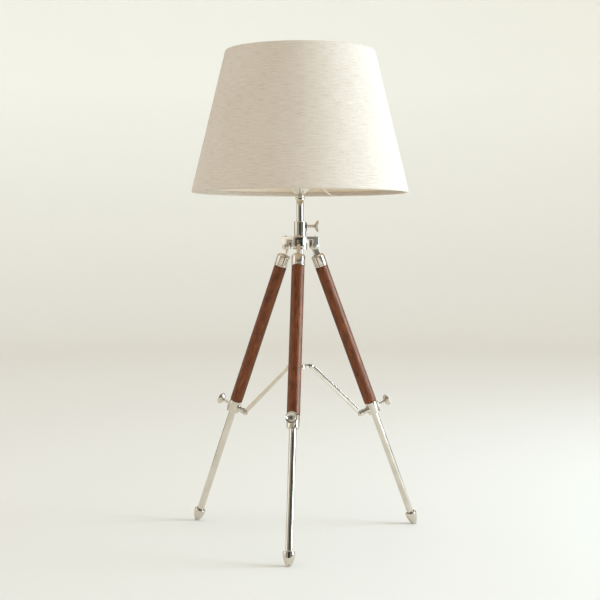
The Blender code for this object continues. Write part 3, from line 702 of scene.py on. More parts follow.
@dataclass(frozen=True)
class Finish:
    """A finish that several pieces can have."""

    name: str
    slot: str
    made: ClassVar[dict[str, bpy.types.Material]] = {}

    def material(self) -> bpy.types.Material:
        """The finish's material, made once.

        Returns:
            The material, shared by every piece that wears the finish.
        """
        if self.name not in self.made:
            graph = Graph(self.name)
            self.paint(graph)
            self.made[self.name] = graph.material
        return self.made[self.name]

    def paint(self, graph: Graph) -> None:
        """Build the finish's nodes."""
        raise NotImplementedError


@dataclass(frozen=True)
class PolishedNickel(Finish):
    """Warm nickel plate: polished, with faint hairlines, smudges and soft wear."""

    bright: Colour = (0.74, 0.685, 0.605)
    dull: Colour = (0.64, 0.58, 0.495)
    gloss: float = 0.06
    smudge: float = 0.07
    ripple: float = 0.003 * MM

    def paint(self, graph: Graph) -> None:
        """Build the finish's nodes.

        Args:
            graph: the material that is being made.
        """
        haze = graph.noise(graph.places, (70.0, 70.0, 45.0), 3.0)
        hairlines = graph.noise(graph.places, (2600.0, 2600.0, 120.0), 2.0)
        pits = graph.noise(graph.places, (1500.0, 1500.0, 1500.0), 1.0)
        tint = graph.spread(haze, 0.35, 0.75)
        graph.set(Base_Color=graph.blend(tint, self.bright, self.dull), Metallic=1.0)
        rough = graph.spread(haze, 0.4, 0.75, self.gloss, self.gloss + self.smudge)
        scratched = graph.spread(hairlines, 0.55, 0.75, 0.0, 0.05)
        graph.set(Roughness=graph.sum("ADD", rough, scratched))
        waves = graph.relief(graph.noise(graph.places, (150.0, 150.0, 90.0), 1.0), 0.6 * self.ripple)
        lines = graph.relief(hairlines, self.ripple, waves)
        graph.set(Normal=graph.relief(graph.spread(pits, 0.7, 0.8), self.ripple, lines))


@dataclass(frozen=True)
class SaddleLeather(Finish):
    """Brown hide: fine pebbled grain with painted shade in its grooves, creases along the leg, mottled dye
    and waxed high spots.
    """

    deep: Colour = (0.080, 0.016, 0.0030)
    mid: Colour = (0.165, 0.038, 0.0075)
    warm: Colour = (0.290, 0.085, 0.022)
    grain_depth: float = 0.05 * MM
    crease_depth: float = 0.09 * MM

    def paint(self, graph: Graph) -> None:
        """Build the finish's nodes.

        Args:
            graph: the material that is being made.
        """
        mottle = graph.noise(graph.places, (130.0, 130.0, 70.0), 4.0)
        streaks = graph.noise(graph.places, (380.0, 380.0, 70.0), 3.0)
        pebbles = graph.cells(graph.places, (1150.0, 1150.0, 900.0))
        pores = graph.noise(graph.places, (2600.0, 2600.0, 2600.0), 2.0)
        dyed = graph.blend(graph.spread(mottle, 0.36, 0.66), self.deep, self.mid)
        worn = graph.blend(graph.spread(streaks, 0.46, 0.76, 0.0, 0.6), dyed, self.warm)
        # Painted shade: the deep colour darkens the grooves between the grain's pebbles.
        grain_groove_shade = graph.spread(pebbles, 0.0, 0.09, 0.45, 0.0)
        graph.set(Base_Color=graph.blend(grain_groove_shade, worn, self.deep))
        sheen = graph.spread(mottle, 0.3, 0.7, 0.25, 0.34)
        graph.set(Roughness=graph.sum("ADD", sheen, graph.spread(pores, 0.4, 0.7, 0.0, 0.1)))
        graph.set(Specular_IOR_Level=0.5, Specular_Tint=(1.0, 0.80, 0.64, 1.0))
        creases = graph.relief(graph.spread(streaks, 0.35, 0.7), self.crease_depth)
        grain = graph.relief(graph.spread(pebbles, 0.0, 0.16), self.grain_depth, creases)
        graph.set(Normal=graph.relief(pores, 0.25 * self.grain_depth, grain))


@dataclass(frozen=True)
class WaxedThread(Finish):
    """Twisted, waxed sewing thread, with painted shade in the grooves of its twist and painted light on its
    plies.
    """

    shade: Colour = (0.060, 0.026, 0.012)
    light: Colour = (0.200, 0.100, 0.052)

    def paint(self, graph: Graph) -> None:
        """Build the finish's nodes.

        Args:
            graph: the material that is being made.
        """
        _, y, z = graph.parts()
        slant = graph.sum("ADD", graph.sum("MULTIPLY", y, 9000.0), graph.sum("MULTIPLY", z, 5200.0))
        plies = graph.spread(graph.sum("SINE", slant), -1.0, 1.0)
        fuzz = graph.noise(graph.places, (3200.0, 3200.0, 3200.0), 2.0)
        # Painted shade and painted light: dark in the twist's grooves, light on the plies' ridges,
        # following the plies' bump.
        graph.set(Base_Color=graph.blend(graph.sum("MULTIPLY", plies, fuzz), self.shade, self.light))
        graph.set(Roughness=graph.spread(fuzz, 0.3, 0.7, 0.42, 0.62))
        graph.set(Sheen_Weight=0.15, Normal=graph.relief(plies, 0.08 * MM))


@dataclass(frozen=True)
class SlubLinen(Finish):
    """Natural linen on a round shade: a plain weave with uneven threads and level slubs."""

    mean_radius: float = 128 * MM
    thread: float = 0.62 * MM
    drift: float = 5.0 * MM
    base: Colour = (0.678, 0.598, 0.508)
    dark: Colour = (0.490, 0.392, 0.300)
    pale: Colour = (0.795, 0.730, 0.655)
    slub_depth: float = 0.16 * MM
    weave_depth: float = 0.10 * MM

    def paint(self, graph: Graph) -> None:
        """Build the finish's nodes.

        Args:
            graph: the material that is being made.
        """
        x, y, z = graph.parts()
        angle = graph.sum("ARCTAN2", x, graph.sum("MULTIPLY", y, -1.0))
        along = graph.sum("MULTIPLY", angle, self.mean_radius)
        drift = graph.noise(graph.places, (26.0, 26.0, 26.0), 2.0)
        level = graph.sum("ADD", z, graph.sum("MULTIPLY", drift, self.drift))
        joined = graph.node("ShaderNodeCombineXYZ")
        graph.feed(joined.inputs[0], along)
        graph.feed(joined.inputs[1], level)
        cloth = joined.outputs[0]
        weft = graph.noise(cloth, (55.0, 950.0, 1.0), 2.0)
        fine_weft = graph.noise(cloth, (170.0, 1900.0, 1.0), 1.0)
        warp = graph.noise(cloth, (1250.0, 75.0, 1.0), 2.0)
        cloud = graph.noise(cloth, (16.0, 12.0, 1.0), 2.0)
        uneven = graph.noise(cloth, (330.0, 330.0, 1.0), 1.0)
        wander = graph.sum("MULTIPLY", uneven, 2.4)
        across = graph.sum("MULTIPLY", along, math.pi / self.thread)
        upward = graph.sum("MULTIPLY", z, math.pi / self.thread)
        ends = graph.sum("SINE", graph.sum("ADD", across, wander))
        picks = graph.sum("SINE", graph.sum("ADD", upward, wander))
        weave = graph.sum("ABSOLUTE", graph.sum("MULTIPLY", ends, picks))
        slubs = graph.spread(weft, 0.52, 0.74)
        thin = graph.spread(weft, 0.30, 0.46, 1.0, 0.0)
        tone = graph.blend(graph.sum("MULTIPLY", slubs, 0.65), self.base, self.pale)
        tone = graph.blend(graph.sum("MULTIPLY", thin, 0.62), tone, self.dark)
        tone = graph.blend(graph.spread(warp, 0.58, 0.78, 0.0, 0.30), tone, self.pale)
        tone = graph.blend(graph.spread(fine_weft, 0.54, 0.78, 0.0, 0.5), tone, self.dark)
        # Painted shade: darker in the hollows between the woven threads, where the weave's bump is low.
        weave_gap_shade = graph.spread(weave, 0.0, 0.35, 0.42, 0.0)
        tone = graph.blend(weave_gap_shade, tone, self.dark)
        graph.set(Base_Color=graph.blend(graph.spread(cloud, 0.3, 0.7, 0.0, 0.16), tone, self.pale))
        graph.set(Roughness=graph.spread(weft, 0.3, 0.7, 0.72, 0.9), Specular_IOR_Level=0.25)
        graph.set(Sheen_Weight=0.22, Sheen_Roughness=0.45)
        bumps = graph.relief(weave, self.weave_depth)
        crosswise = graph.sum("ADD", slubs, graph.sum("MULTIPLY", fine_weft, 0.5))
        rows = graph.relief(crosswise, self.slub_depth, bumps)
        graph.set(Normal=graph.relief(graph.spread(warp, 0.55, 0.8), 0.5 * self.slub_depth, rows))


@dataclass(frozen=True)
class Moulded(Finish):
    """Moulded or laminated plastic with a fine skin and faint flow marks."""

    base: Colour = (0.03, 0.03, 0.03)
    worn: Colour = (0.06, 0.058, 0.055)
    gloss: float = 0.38
    skin: float = 0.02 * MM

    def paint(self, graph: Graph) -> None:
        """Build the finish's nodes.

        Args:
            graph: the material that is being made.
        """
        flow = graph.noise(graph.places, (60.0, 60.0, 120.0), 3.0)
        grain = graph.noise(graph.places, (1900.0, 1900.0, 1900.0), 2.0)
        graph.set(Base_Color=graph.blend(graph.spread(flow, 0.35, 0.75), self.base, self.worn))
        graph.set(Roughness=graph.spread(grain, 0.3, 0.7, self.gloss, self.gloss + 0.16))
        graph.set(Normal=graph.relief(grain, self.skin))


@dataclass(frozen=True)
class Enamel(Finish):
    """Baked enamel or glaze: glossy, with a soft orange peel and specks."""

    base: Colour = (0.66, 0.62, 0.54)
    speck: Colour = (0.52, 0.48, 0.41)
    peel: float = 0.03 * MM

    def paint(self, graph: Graph) -> None:
        """Build the finish's nodes.

        Args:
            graph: the material that is being made.
        """
        peel = graph.noise(graph.places, (480.0, 480.0, 480.0), 1.0)
        specks = graph.noise(graph.places, (1400.0, 1400.0, 1400.0), 1.0)
        graph.set(Base_Color=graph.blend(graph.spread(specks, 0.68, 0.78, 0.0, 0.6), self.base, self.speck))
        graph.set(Roughness=graph.spread(peel, 0.3, 0.7, 0.2, 0.34), Coat_Weight=0.35)
        graph.set(Coat_Roughness=0.12, Normal=graph.relief(peel, self.peel))


@dataclass(frozen=True)
class FrostedGlass(Finish):
    """White frosted glass of a bulb: etched, faintly cloudy and a little translucent."""

    base: Colour = (0.90, 0.895, 0.87)
    cloud: Colour = (0.80, 0.79, 0.76)

    def paint(self, graph: Graph) -> None:
        """Build the finish's nodes.

        Args:
            graph: the material that is being made.
        """
        clouds = graph.noise(graph.places, (40.0, 40.0, 40.0), 3.0)
        etch = graph.noise(graph.places, (2600.0, 2600.0, 2600.0), 1.0)
        graph.set(Base_Color=graph.blend(graph.spread(clouds, 0.35, 0.7), self.base, self.cloud))
        graph.set(Roughness=graph.spread(etch, 0.3, 0.7, 0.3, 0.46), Subsurface_Weight=0.2)
        graph.set(Subsurface_Scale=0.004, Coat_Weight=0.25, Coat_Roughness=0.2)
        graph.set(Normal=graph.relief(etch, 0.01 * MM))


@dataclass(frozen=True)
class StudioPaper(Finish):
    """Seamless pale studio paper, with painted shade that darkens it towards the floor."""

    base: Colour = (0.93, 0.925, 0.87)
    mark: Colour = (0.91, 0.905, 0.85)
    # Painted shade: the paper's colour on the floor, fading to its full tone at the bend height.
    floor: Colour = (0.725, 0.705, 0.655)
    bend: float = 1.2

    def paint(self, graph: Graph) -> None:
        """Build the finish's nodes.

        Args:
            graph: the material that is being made.
        """
        cloud = graph.noise(graph.places, (1.3, 1.3, 1.3), 3.0)
        tooth = graph.noise(graph.places, (600.0, 600.0, 600.0), 1.0)
        # Painted shade: darker on the floor, fading out up to the bend height.
        floor_shade_fade = graph.spread(graph.parts()[2], 0.0, self.bend)
        shown = graph.blend(floor_shade_fade, self.floor, graph.blend(cloud, self.base, self.mark))
        graph.set(Base_Color=shown, Specular_IOR_Level=0.1)
        graph.set(Roughness=graph.spread(tooth, 0.3, 0.7, 0.82, 0.95))


NICKEL = PolishedNickel("polished_nickel", "polished_nickel")
CAST_NICKEL = PolishedNickel("cast_nickel", "polished_nickel", gloss=0.13, ripple=0.006 * MM)
LEATHER = SaddleLeather("saddle_leather", "leather")
SATIN_NICKEL = PolishedNickel("satin_nickel", "polished_nickel", gloss=0.27, ripple=0.005 * MM)
THREAD = WaxedThread("waxed_thread", "leather")
LINEN = SlubLinen("slub_linen", "linen")
LINING = Moulded("shade_laminate", "lining", (0.88, 0.775, 0.63), (0.84, 0.735, 0.585), 0.55, 0.04 * MM)
WIRE_ENAMEL = Enamel("wire_enamel", "white_enamel")
PORCELAIN = Enamel("glazed_porcelain", "porcelain", (0.84, 0.83, 0.79), (0.70, 0.66, 0.60), 0.02 * MM)
BLACK_PLASTIC = Moulded("black_plastic", "black_plastic")
WHITE_PLASTIC = Moulded("white_plastic", "white_plastic", (0.78, 0.77, 0.73), (0.72, 0.70, 0.65), 0.34)
BRASS = PolishedNickel("contact_brass", "brass", (0.80, 0.60, 0.28), (0.62, 0.43, 0.18), 0.2)
BULB_GLASS = FrostedGlass("bulb_glass", "frosted_glass")
PAPER = StudioPaper("studio_paper", "")


def place(
    name: str,
    mesh: bpy.types.Mesh,
    finish: Finish,
    body: str,
    axes: Matrix,
    stands_for: Sequence[str] = (),
) -> bpy.types.Object:
    """Put a finished piece on the lamp.

    Args:
        name: the piece's name.
        mesh: its shape, in its own axes.
        finish: its finish.
        body: the frame body that carries it.
        axes: where its axes lie in the frame.
        stands_for: the frame nodes that it replaces.

    Returns:
        The piece.
    """
    piece = bpy.data.objects.new(name, mesh)
    bpy.context.scene.collection.objects.link(piece)
    piece.matrix_world = axes
    if not mesh.materials:
        mesh.materials.append(finish.material())
    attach(piece, body)
    if stands_for:
        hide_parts(*stands_for)
    LOG.info("%s: %d faces, %s, on %s", name, len(mesh.polygons), finish.name, body)
    return piece


# Fasteners


@dataclass(frozen=True)
class Fasteners:
    """Pins, screws and rivets with domed heads."""

    slot_width: float = 0.55 * MM
    slot_depth: float = 0.5 * MM

    def dome(self, radius: float, height: float, base: float) -> Outline:
        """Outline of a domed head from its crown to its rim, standing at a height."""
        turns = [math.pi / 2 * step / 8 for step in range(9)]
        return [(radius * math.sin(a), base + height * math.cos(a)) for a in turns]

    def driver_slot(self, radius: float, top: float) -> bpy.types.Mesh:
        """The cutter of a screwdriver slot.

        Args:
            radius: the head's radius.
            top: height of the head's crown.

        Returns:
            A bar that reaches across the head.
        """
        return block(
            (-2 * radius, -self.slot_width / 2, top - self.slot_depth),
            (2 * radius, self.slot_width / 2, top + self.slot_depth),
            0.0,
        )

    def pin(self, length: float, shank: float, head: float, height: float) -> bpy.types.Mesh:
        """Make a hinge pin along Z, slotted at its upper end.

        Args:
            length: distance between the heads' undersides.
            shank: radius of the shank.
            head: radius of the heads.
            height: height of the domed heads.

        Returns:
            The pin's mesh.
        """
        under = length / 2 - 0.1 * MM
        upper = self.dome(head, height, length / 2) + [(head, under), (shank, under)]
        lower = [(radius, -z) for radius, z in reversed(upper)]
        shape = spun(upper + lower, around(Sides.SMALL))
        return combined(shape, cut=[self.driver_slot(head, length / 2 + height)])

    def screw(
        self, length: float, shank: float, head: float, height: float, slotted: bool
    ) -> bpy.types.Mesh:
        """Make a screw or rivet down -Z, with a domed head standing on z = 0.

        Args:
            length: length of the shank.
            shank: radius of the shank.
            head: radius of the head.
            height: height of the head.
            slotted: whether the head has a screwdriver slot.

        Returns:
            The screw's mesh.
        """
        section = self.dome(head, height, 0.0) + [(shank, 0.0), (shank, -length), (0.0, -length)]
        shape = spun(section, around(Sides.SMALL))
        return combined(shape, cut=[self.driver_slot(head, height)]) if slotted else shape


@dataclass(frozen=True)
class ThumbScrew:
    """A clamp screw along +Z with a round head dished towards its outer side."""

    tip: float
    end: float
    radius: float
    shaft: float = 2.0 * MM
    depth: float = 4.6 * MM
    thickness: float = 1.2 * MM
    rim_roll: float = 0.36 * MM

    def mesh(self) -> bpy.types.Mesh:
        """Turn the dish's hollow, its rolled rim, its back and the shaft.

        Returns:
            The screw along +Z, with its shaft below the dish.
        """
        rim = self.radius - self.rim_roll
        neck = self.end - self.depth - self.thickness
        bowl = (rim**2 + self.depth**2) / (2 * self.depth)
        sweep = math.asin(rim / bowl)
        turns = [sweep * step / 14 for step in range(15)]
        hollow = [(bowl * math.sin(a), neck + self.thickness + bowl * (1 - math.cos(a))) for a in turns]
        back = [(bowl * math.sin(a), neck + bowl * (1 - math.cos(a))) for a in turns]
        roll = (self.radius, back[-1][1] + 0.5 * self.thickness)
        outer = back[:2:-1]
        fillet = [(self.shaft + 0.7 * MM, neck - 0.1 * MM), (self.shaft, neck - 1.2 * MM)]
        shank = [(self.shaft, self.tip + 0.4 * MM), (self.shaft - 0.4 * MM, self.tip), (0.0, self.tip)]
        section = soften(hollow + [roll] + outer + fillet + shank, 0.4 * MM)
        return spun(section, around(Sides.ROUND))


# Hub


@dataclass
class Hub:
    """Cast hub with its sleeve, hinge pins, arm screws and the stem's thumb screw."""

    axis: Matrix
    bore: float = 5.3 * MM
    body_radius: float = 10.0 * MM
    plate: float = 5.0 * MM
    arm_root: float = 6.5 * MM
    arm_width: float = 13.6 * MM
    tongue_gap: float = 5.6 * MM
    pin_hole: float = 1.65 * MM
    cast_edge: float = 0.8 * MM
    arm_nose: float = 1.4 * MM
    sleeve_edge: float = 0.9 * MM
    pad_width: float = 7.0 * MM
    pad_height: float = 13.0 * MM
    pad_below_top: float = 1.6 * MM
    pad_sunk: float = 1.6 * MM
    pad_edge: float = 0.55 * MM
    screw_hole: float = 2.25 * MM
    fasteners: Fasteners = Fasteners()

    def __post_init__(self) -> None:
        """Read the hub's places from the frame."""
        low, high = span("hub_casting", self.axis)
        pivot = self.axis.inverted() @ Vector(JOINTS["leg_front_fold"]["pos_m"])
        self.pivot = (pivot.to_2d().length, pivot.z)
        self.top = high.z
        self.cheek = pivot.z - low.z
        self.reach = self.pivot[0] + self.cheek

    def casting_mesh(self) -> bpy.types.Mesh:
        """Make the hub's casting.

        Returns:
            The bored body with its three slotted arms.
        """
        low = self.pivot[1] - self.cheek
        plate_low = self.top - self.plate
        inner = self.pivot[0] - self.cheek
        outside = [(self.body_radius, self.top), (self.body_radius, low)]
        section = outside + [(self.bore, low), (self.bore, self.top)]
        body = spun(soften(section, self.cast_edge, closed=True), around(Sides.FINE), closed=True)
        outline = [(self.arm_root, self.top - 0.02 * MM), (self.arm_root, plate_low), (inner, plate_low)]
        outline += arc(self.pivot, self.cheek, 180, 360, 20)
        nose = self.arm_nose
        outline += arc((self.reach - nose, self.top - nose - 0.02 * MM), nose, 0, 90, 6)
        arm = plate(outline, self.arm_width, self.cast_edge)
        half = self.tongue_gap / 2
        slot = block((inner - MM, -half, low - MM), (self.reach + MM, half, plate_low + 0.3 * MM), 0.0)
        turns = [spin(math.degrees(math.atan2(*self.outward(side).yx))) for side in Side]
        across = 0.5 * self.arm_width + MM
        x, z = self.pivot
        hole = rod((x, -across, z), (x, across, z), self.pin_hole, 0.0, Sides.SMALL)
        arms = [moved(arm, turn) for turn in turns]
        cuts = [moved(shape, turn) for turn in turns for shape in (slot, hole)]
        return combined(body, arms, cuts)

    def outward(self, side: Side) -> Vector:
        """The level direction from the stem axis to a leg's hinge."""
        place_there = self.axis.inverted() @ Vector(JOINTS[f"leg_{side.value}_fold"]["pos_m"])
        return Vector((place_there.x, place_there.y, 0.0)).normalized()

    def sleeve_mesh(
        self, low: float, high: float, outer: float, pad_face: float, screw: float
    ) -> bpy.types.Mesh:
        """Make the sleeve that the stem slides in.

        Args:
            low: height of its lower end.
            high: height of its upper end.
            outer: its outer radius.
            pad_face: how far the clamp pad's face is from the axis.
            screw: height of the thumb screw's axis.

        Returns:
            The sleeve with its pad towards +X.
        """
        wall = ring(outer, self.bore, low, high, self.sleeve_edge, Sides.FINE)
        pad_top = high - self.pad_below_top
        half = self.pad_width / 2
        pad_low = (outer - self.pad_sunk, -half, pad_top - self.pad_height)
        pad = block(pad_low, (pad_face, half, pad_top), self.pad_edge)
        start = (self.bore - MM, 0, screw)
        hole = rod(start, (pad_face + MM, 0, screw), self.screw_hole, 0.0, Sides.SMALL)
        return combined(wall, [pad], [hole])

    def build(self) -> None:
        """Make and place every piece of the hub."""
        place("hub_body", self.casting_mesh(), CAST_NICKEL, "hub", self.axis, ["hub_casting"])
        joint = JOINTS["stem_screw_turn"]
        way = Vector(joint["axis"])
        turned = self.axis @ spin(math.degrees(math.atan2(way.y, way.x)))
        low, high = span("stem_sleeve", turned)
        height = joint["pos_m"][2]
        sleeve = self.sleeve_mesh(low.z, high.z, high.y, high.x, height)
        place("stem_sleeve_body", sleeve, CAST_NICKEL, "hub", turned, ["stem_sleeve"])
        screw_low, screw_high = span("stem_thumb_screw", turned)
        screw = ThumbScrew(screw_low.x, screw_high.x, screw_high.y)
        axes = turned @ Matrix.Translation((0, 0, height)) @ Matrix.Rotation(math.pi / 2, 4, "Y")
        place("stem_screw_dish", screw.mesh(), SATIN_NICKEL, "stem_screw", axes, ["stem_thumb_screw"])
        pin = self.fasteners.pin(self.arm_width + 0.6 * MM, 1.5 * MM, 2.8 * MM, 1.2 * MM)
        head = self.fasteners.screw(4.0 * MM, MM, 2.1 * MM, 1.4 * MM, True)
        for side in Side:
            axes = leg_axes(side) @ Matrix.Rotation(math.pi / 2, 4, "X")
            place(f"hinge_pin_{side.value}", pin, NICKEL, "hub", axes, [f"leg_pin_{side.value}"])
            spot = middle(f"arm_screw_{side.value}")
            spot.z = self.top
            turn = spin(40.0 + 65.0 * list(Side).index(side))
            axes = Matrix.Translation(spot) @ turn
            place(f"cover_screw_{side.value}", head, NICKEL, "hub", axes, [f"arm_screw_{side.value}"])


# Legs


@dataclass
class LeatherWrap:
    """A hide sleeve sewn edge to edge along the side that faces the stem."""

    outer: float
    inner: float
    top: float
    bottom: float
    pitch: float = 4.4 * MM
    groove: float = 0.55 * MM
    lip: float = 0.30 * MM
    thread: float = 0.36 * MM
    seam_half: float = 1.7 * MM
    seam_gap: float = 0.5 * MM
    lip_place: float = 1.5 * MM
    lip_width: float = 0.75 * MM
    crease_size: float = 7 * MM
    crease: float = 0.10 * MM
    fine_crease: float = 0.05 * MM
    stitch_sink: float = 0.62 * MM
    end_margin: float = 1.6 * MM
    end_roll: float = 1.0 * MM

    def angles(self) -> list[float]:
        """Angles around the leg, closer together beside the seam at half a turn.

        Returns:
            The angles in rising order.
        """
        near = [side * step * 0.035 for step in range(1, 11) for side in (-1, 1)]
        fine = [math.pi + turn for turn in near] + [math.pi]
        coarse = [2 * math.pi * step / 64 for step in range(64)]
        wide = [angle for angle in coarse if abs(angle - math.pi) > 0.38]
        return sorted(wide + fine)

    def stitch_height(self, index: int) -> float:
        """Height of a stitch's middle."""
        return self.top - self.end_margin - (index + 0.5) * self.pitch

    def stitches(self) -> int:
        """How many stitches the seam has."""
        return int((self.top - self.bottom - 2 * self.end_margin) / self.pitch)

    def lift(self, angle: float, radius: float, height: float) -> float:
        """How far the hide stands out at a point: seam, puckers and creases.

        Args:
            angle: angle around the leg.
            radius: radius of the undisturbed surface.
            height: height along the leg.

        Returns:
            The distance outwards.
        """
        if radius < 0.5 * (self.outer + self.inner):
            return 0.0
        off = abs(angle - math.pi) * self.outer
        phase = (self.top - self.end_margin - height) / self.pitch
        pucker = 0.5 + 0.5 * math.cos(2 * math.pi * phase)
        seam = -self.groove * math.exp(-((off / self.seam_gap) ** 2))
        beside = math.exp(-(((off - self.lip_place) / self.lip_width) ** 2))
        seam += self.lip * (0.55 + 0.45 * pucker) * beside
        around_leg = Vector((radius * math.cos(angle), radius * math.sin(angle), height * 0.22))
        where = around_leg / self.crease_size
        creases = self.crease * noise.noise(where) + self.fine_crease * noise.noise(where * 2.7)
        return seam + creases

    def mesh(self) -> bpy.types.Mesh:
        """Make the sleeve of hide.

        Returns:
            A closed tube with rolled ends and a sewn seam.
        """
        rows = 190
        step = (self.top - self.bottom - 2 * self.end_roll) / rows
        side = [(self.outer, self.top - self.end_roll - step * row) for row in range(rows + 1)]
        roll = self.end_roll
        middle_radius = self.outer - roll
        upper = arc((middle_radius, self.top - roll), roll, 100, 12, 5)
        lower = arc((middle_radius, self.bottom + roll), roll, -12, -100, 5)
        inner = [(self.inner, self.bottom + 0.4 * MM), (self.inner, self.top - 0.4 * MM)]
        return spun(upper + side + lower + inner, self.angles(), self.lift, closed=True)

    def thread_mesh(self) -> bpy.types.Mesh:
        """Make the seam's thread: a slanted stitch over the edges for every pitch.

        Returns:
            All the stitches in one mesh.
        """
        reach = self.seam_half
        paths = []
        for index in range(self.stitches()):
            height = self.stitch_height(index)
            path = []
            for step in range(-5, 6):
                share = step / 5
                turn = math.pi + share * reach / self.outer
                sink = self.stitch_sink * abs(share) ** 5
                radius = self.outer + self.lip + 0.30 * self.thread - sink
                rise = height + 0.30 * self.pitch * share
                path.append(Vector((radius * math.cos(turn), radius * math.sin(turn), rise)))
            paths.append(path)
        return wires(paths, self.thread)


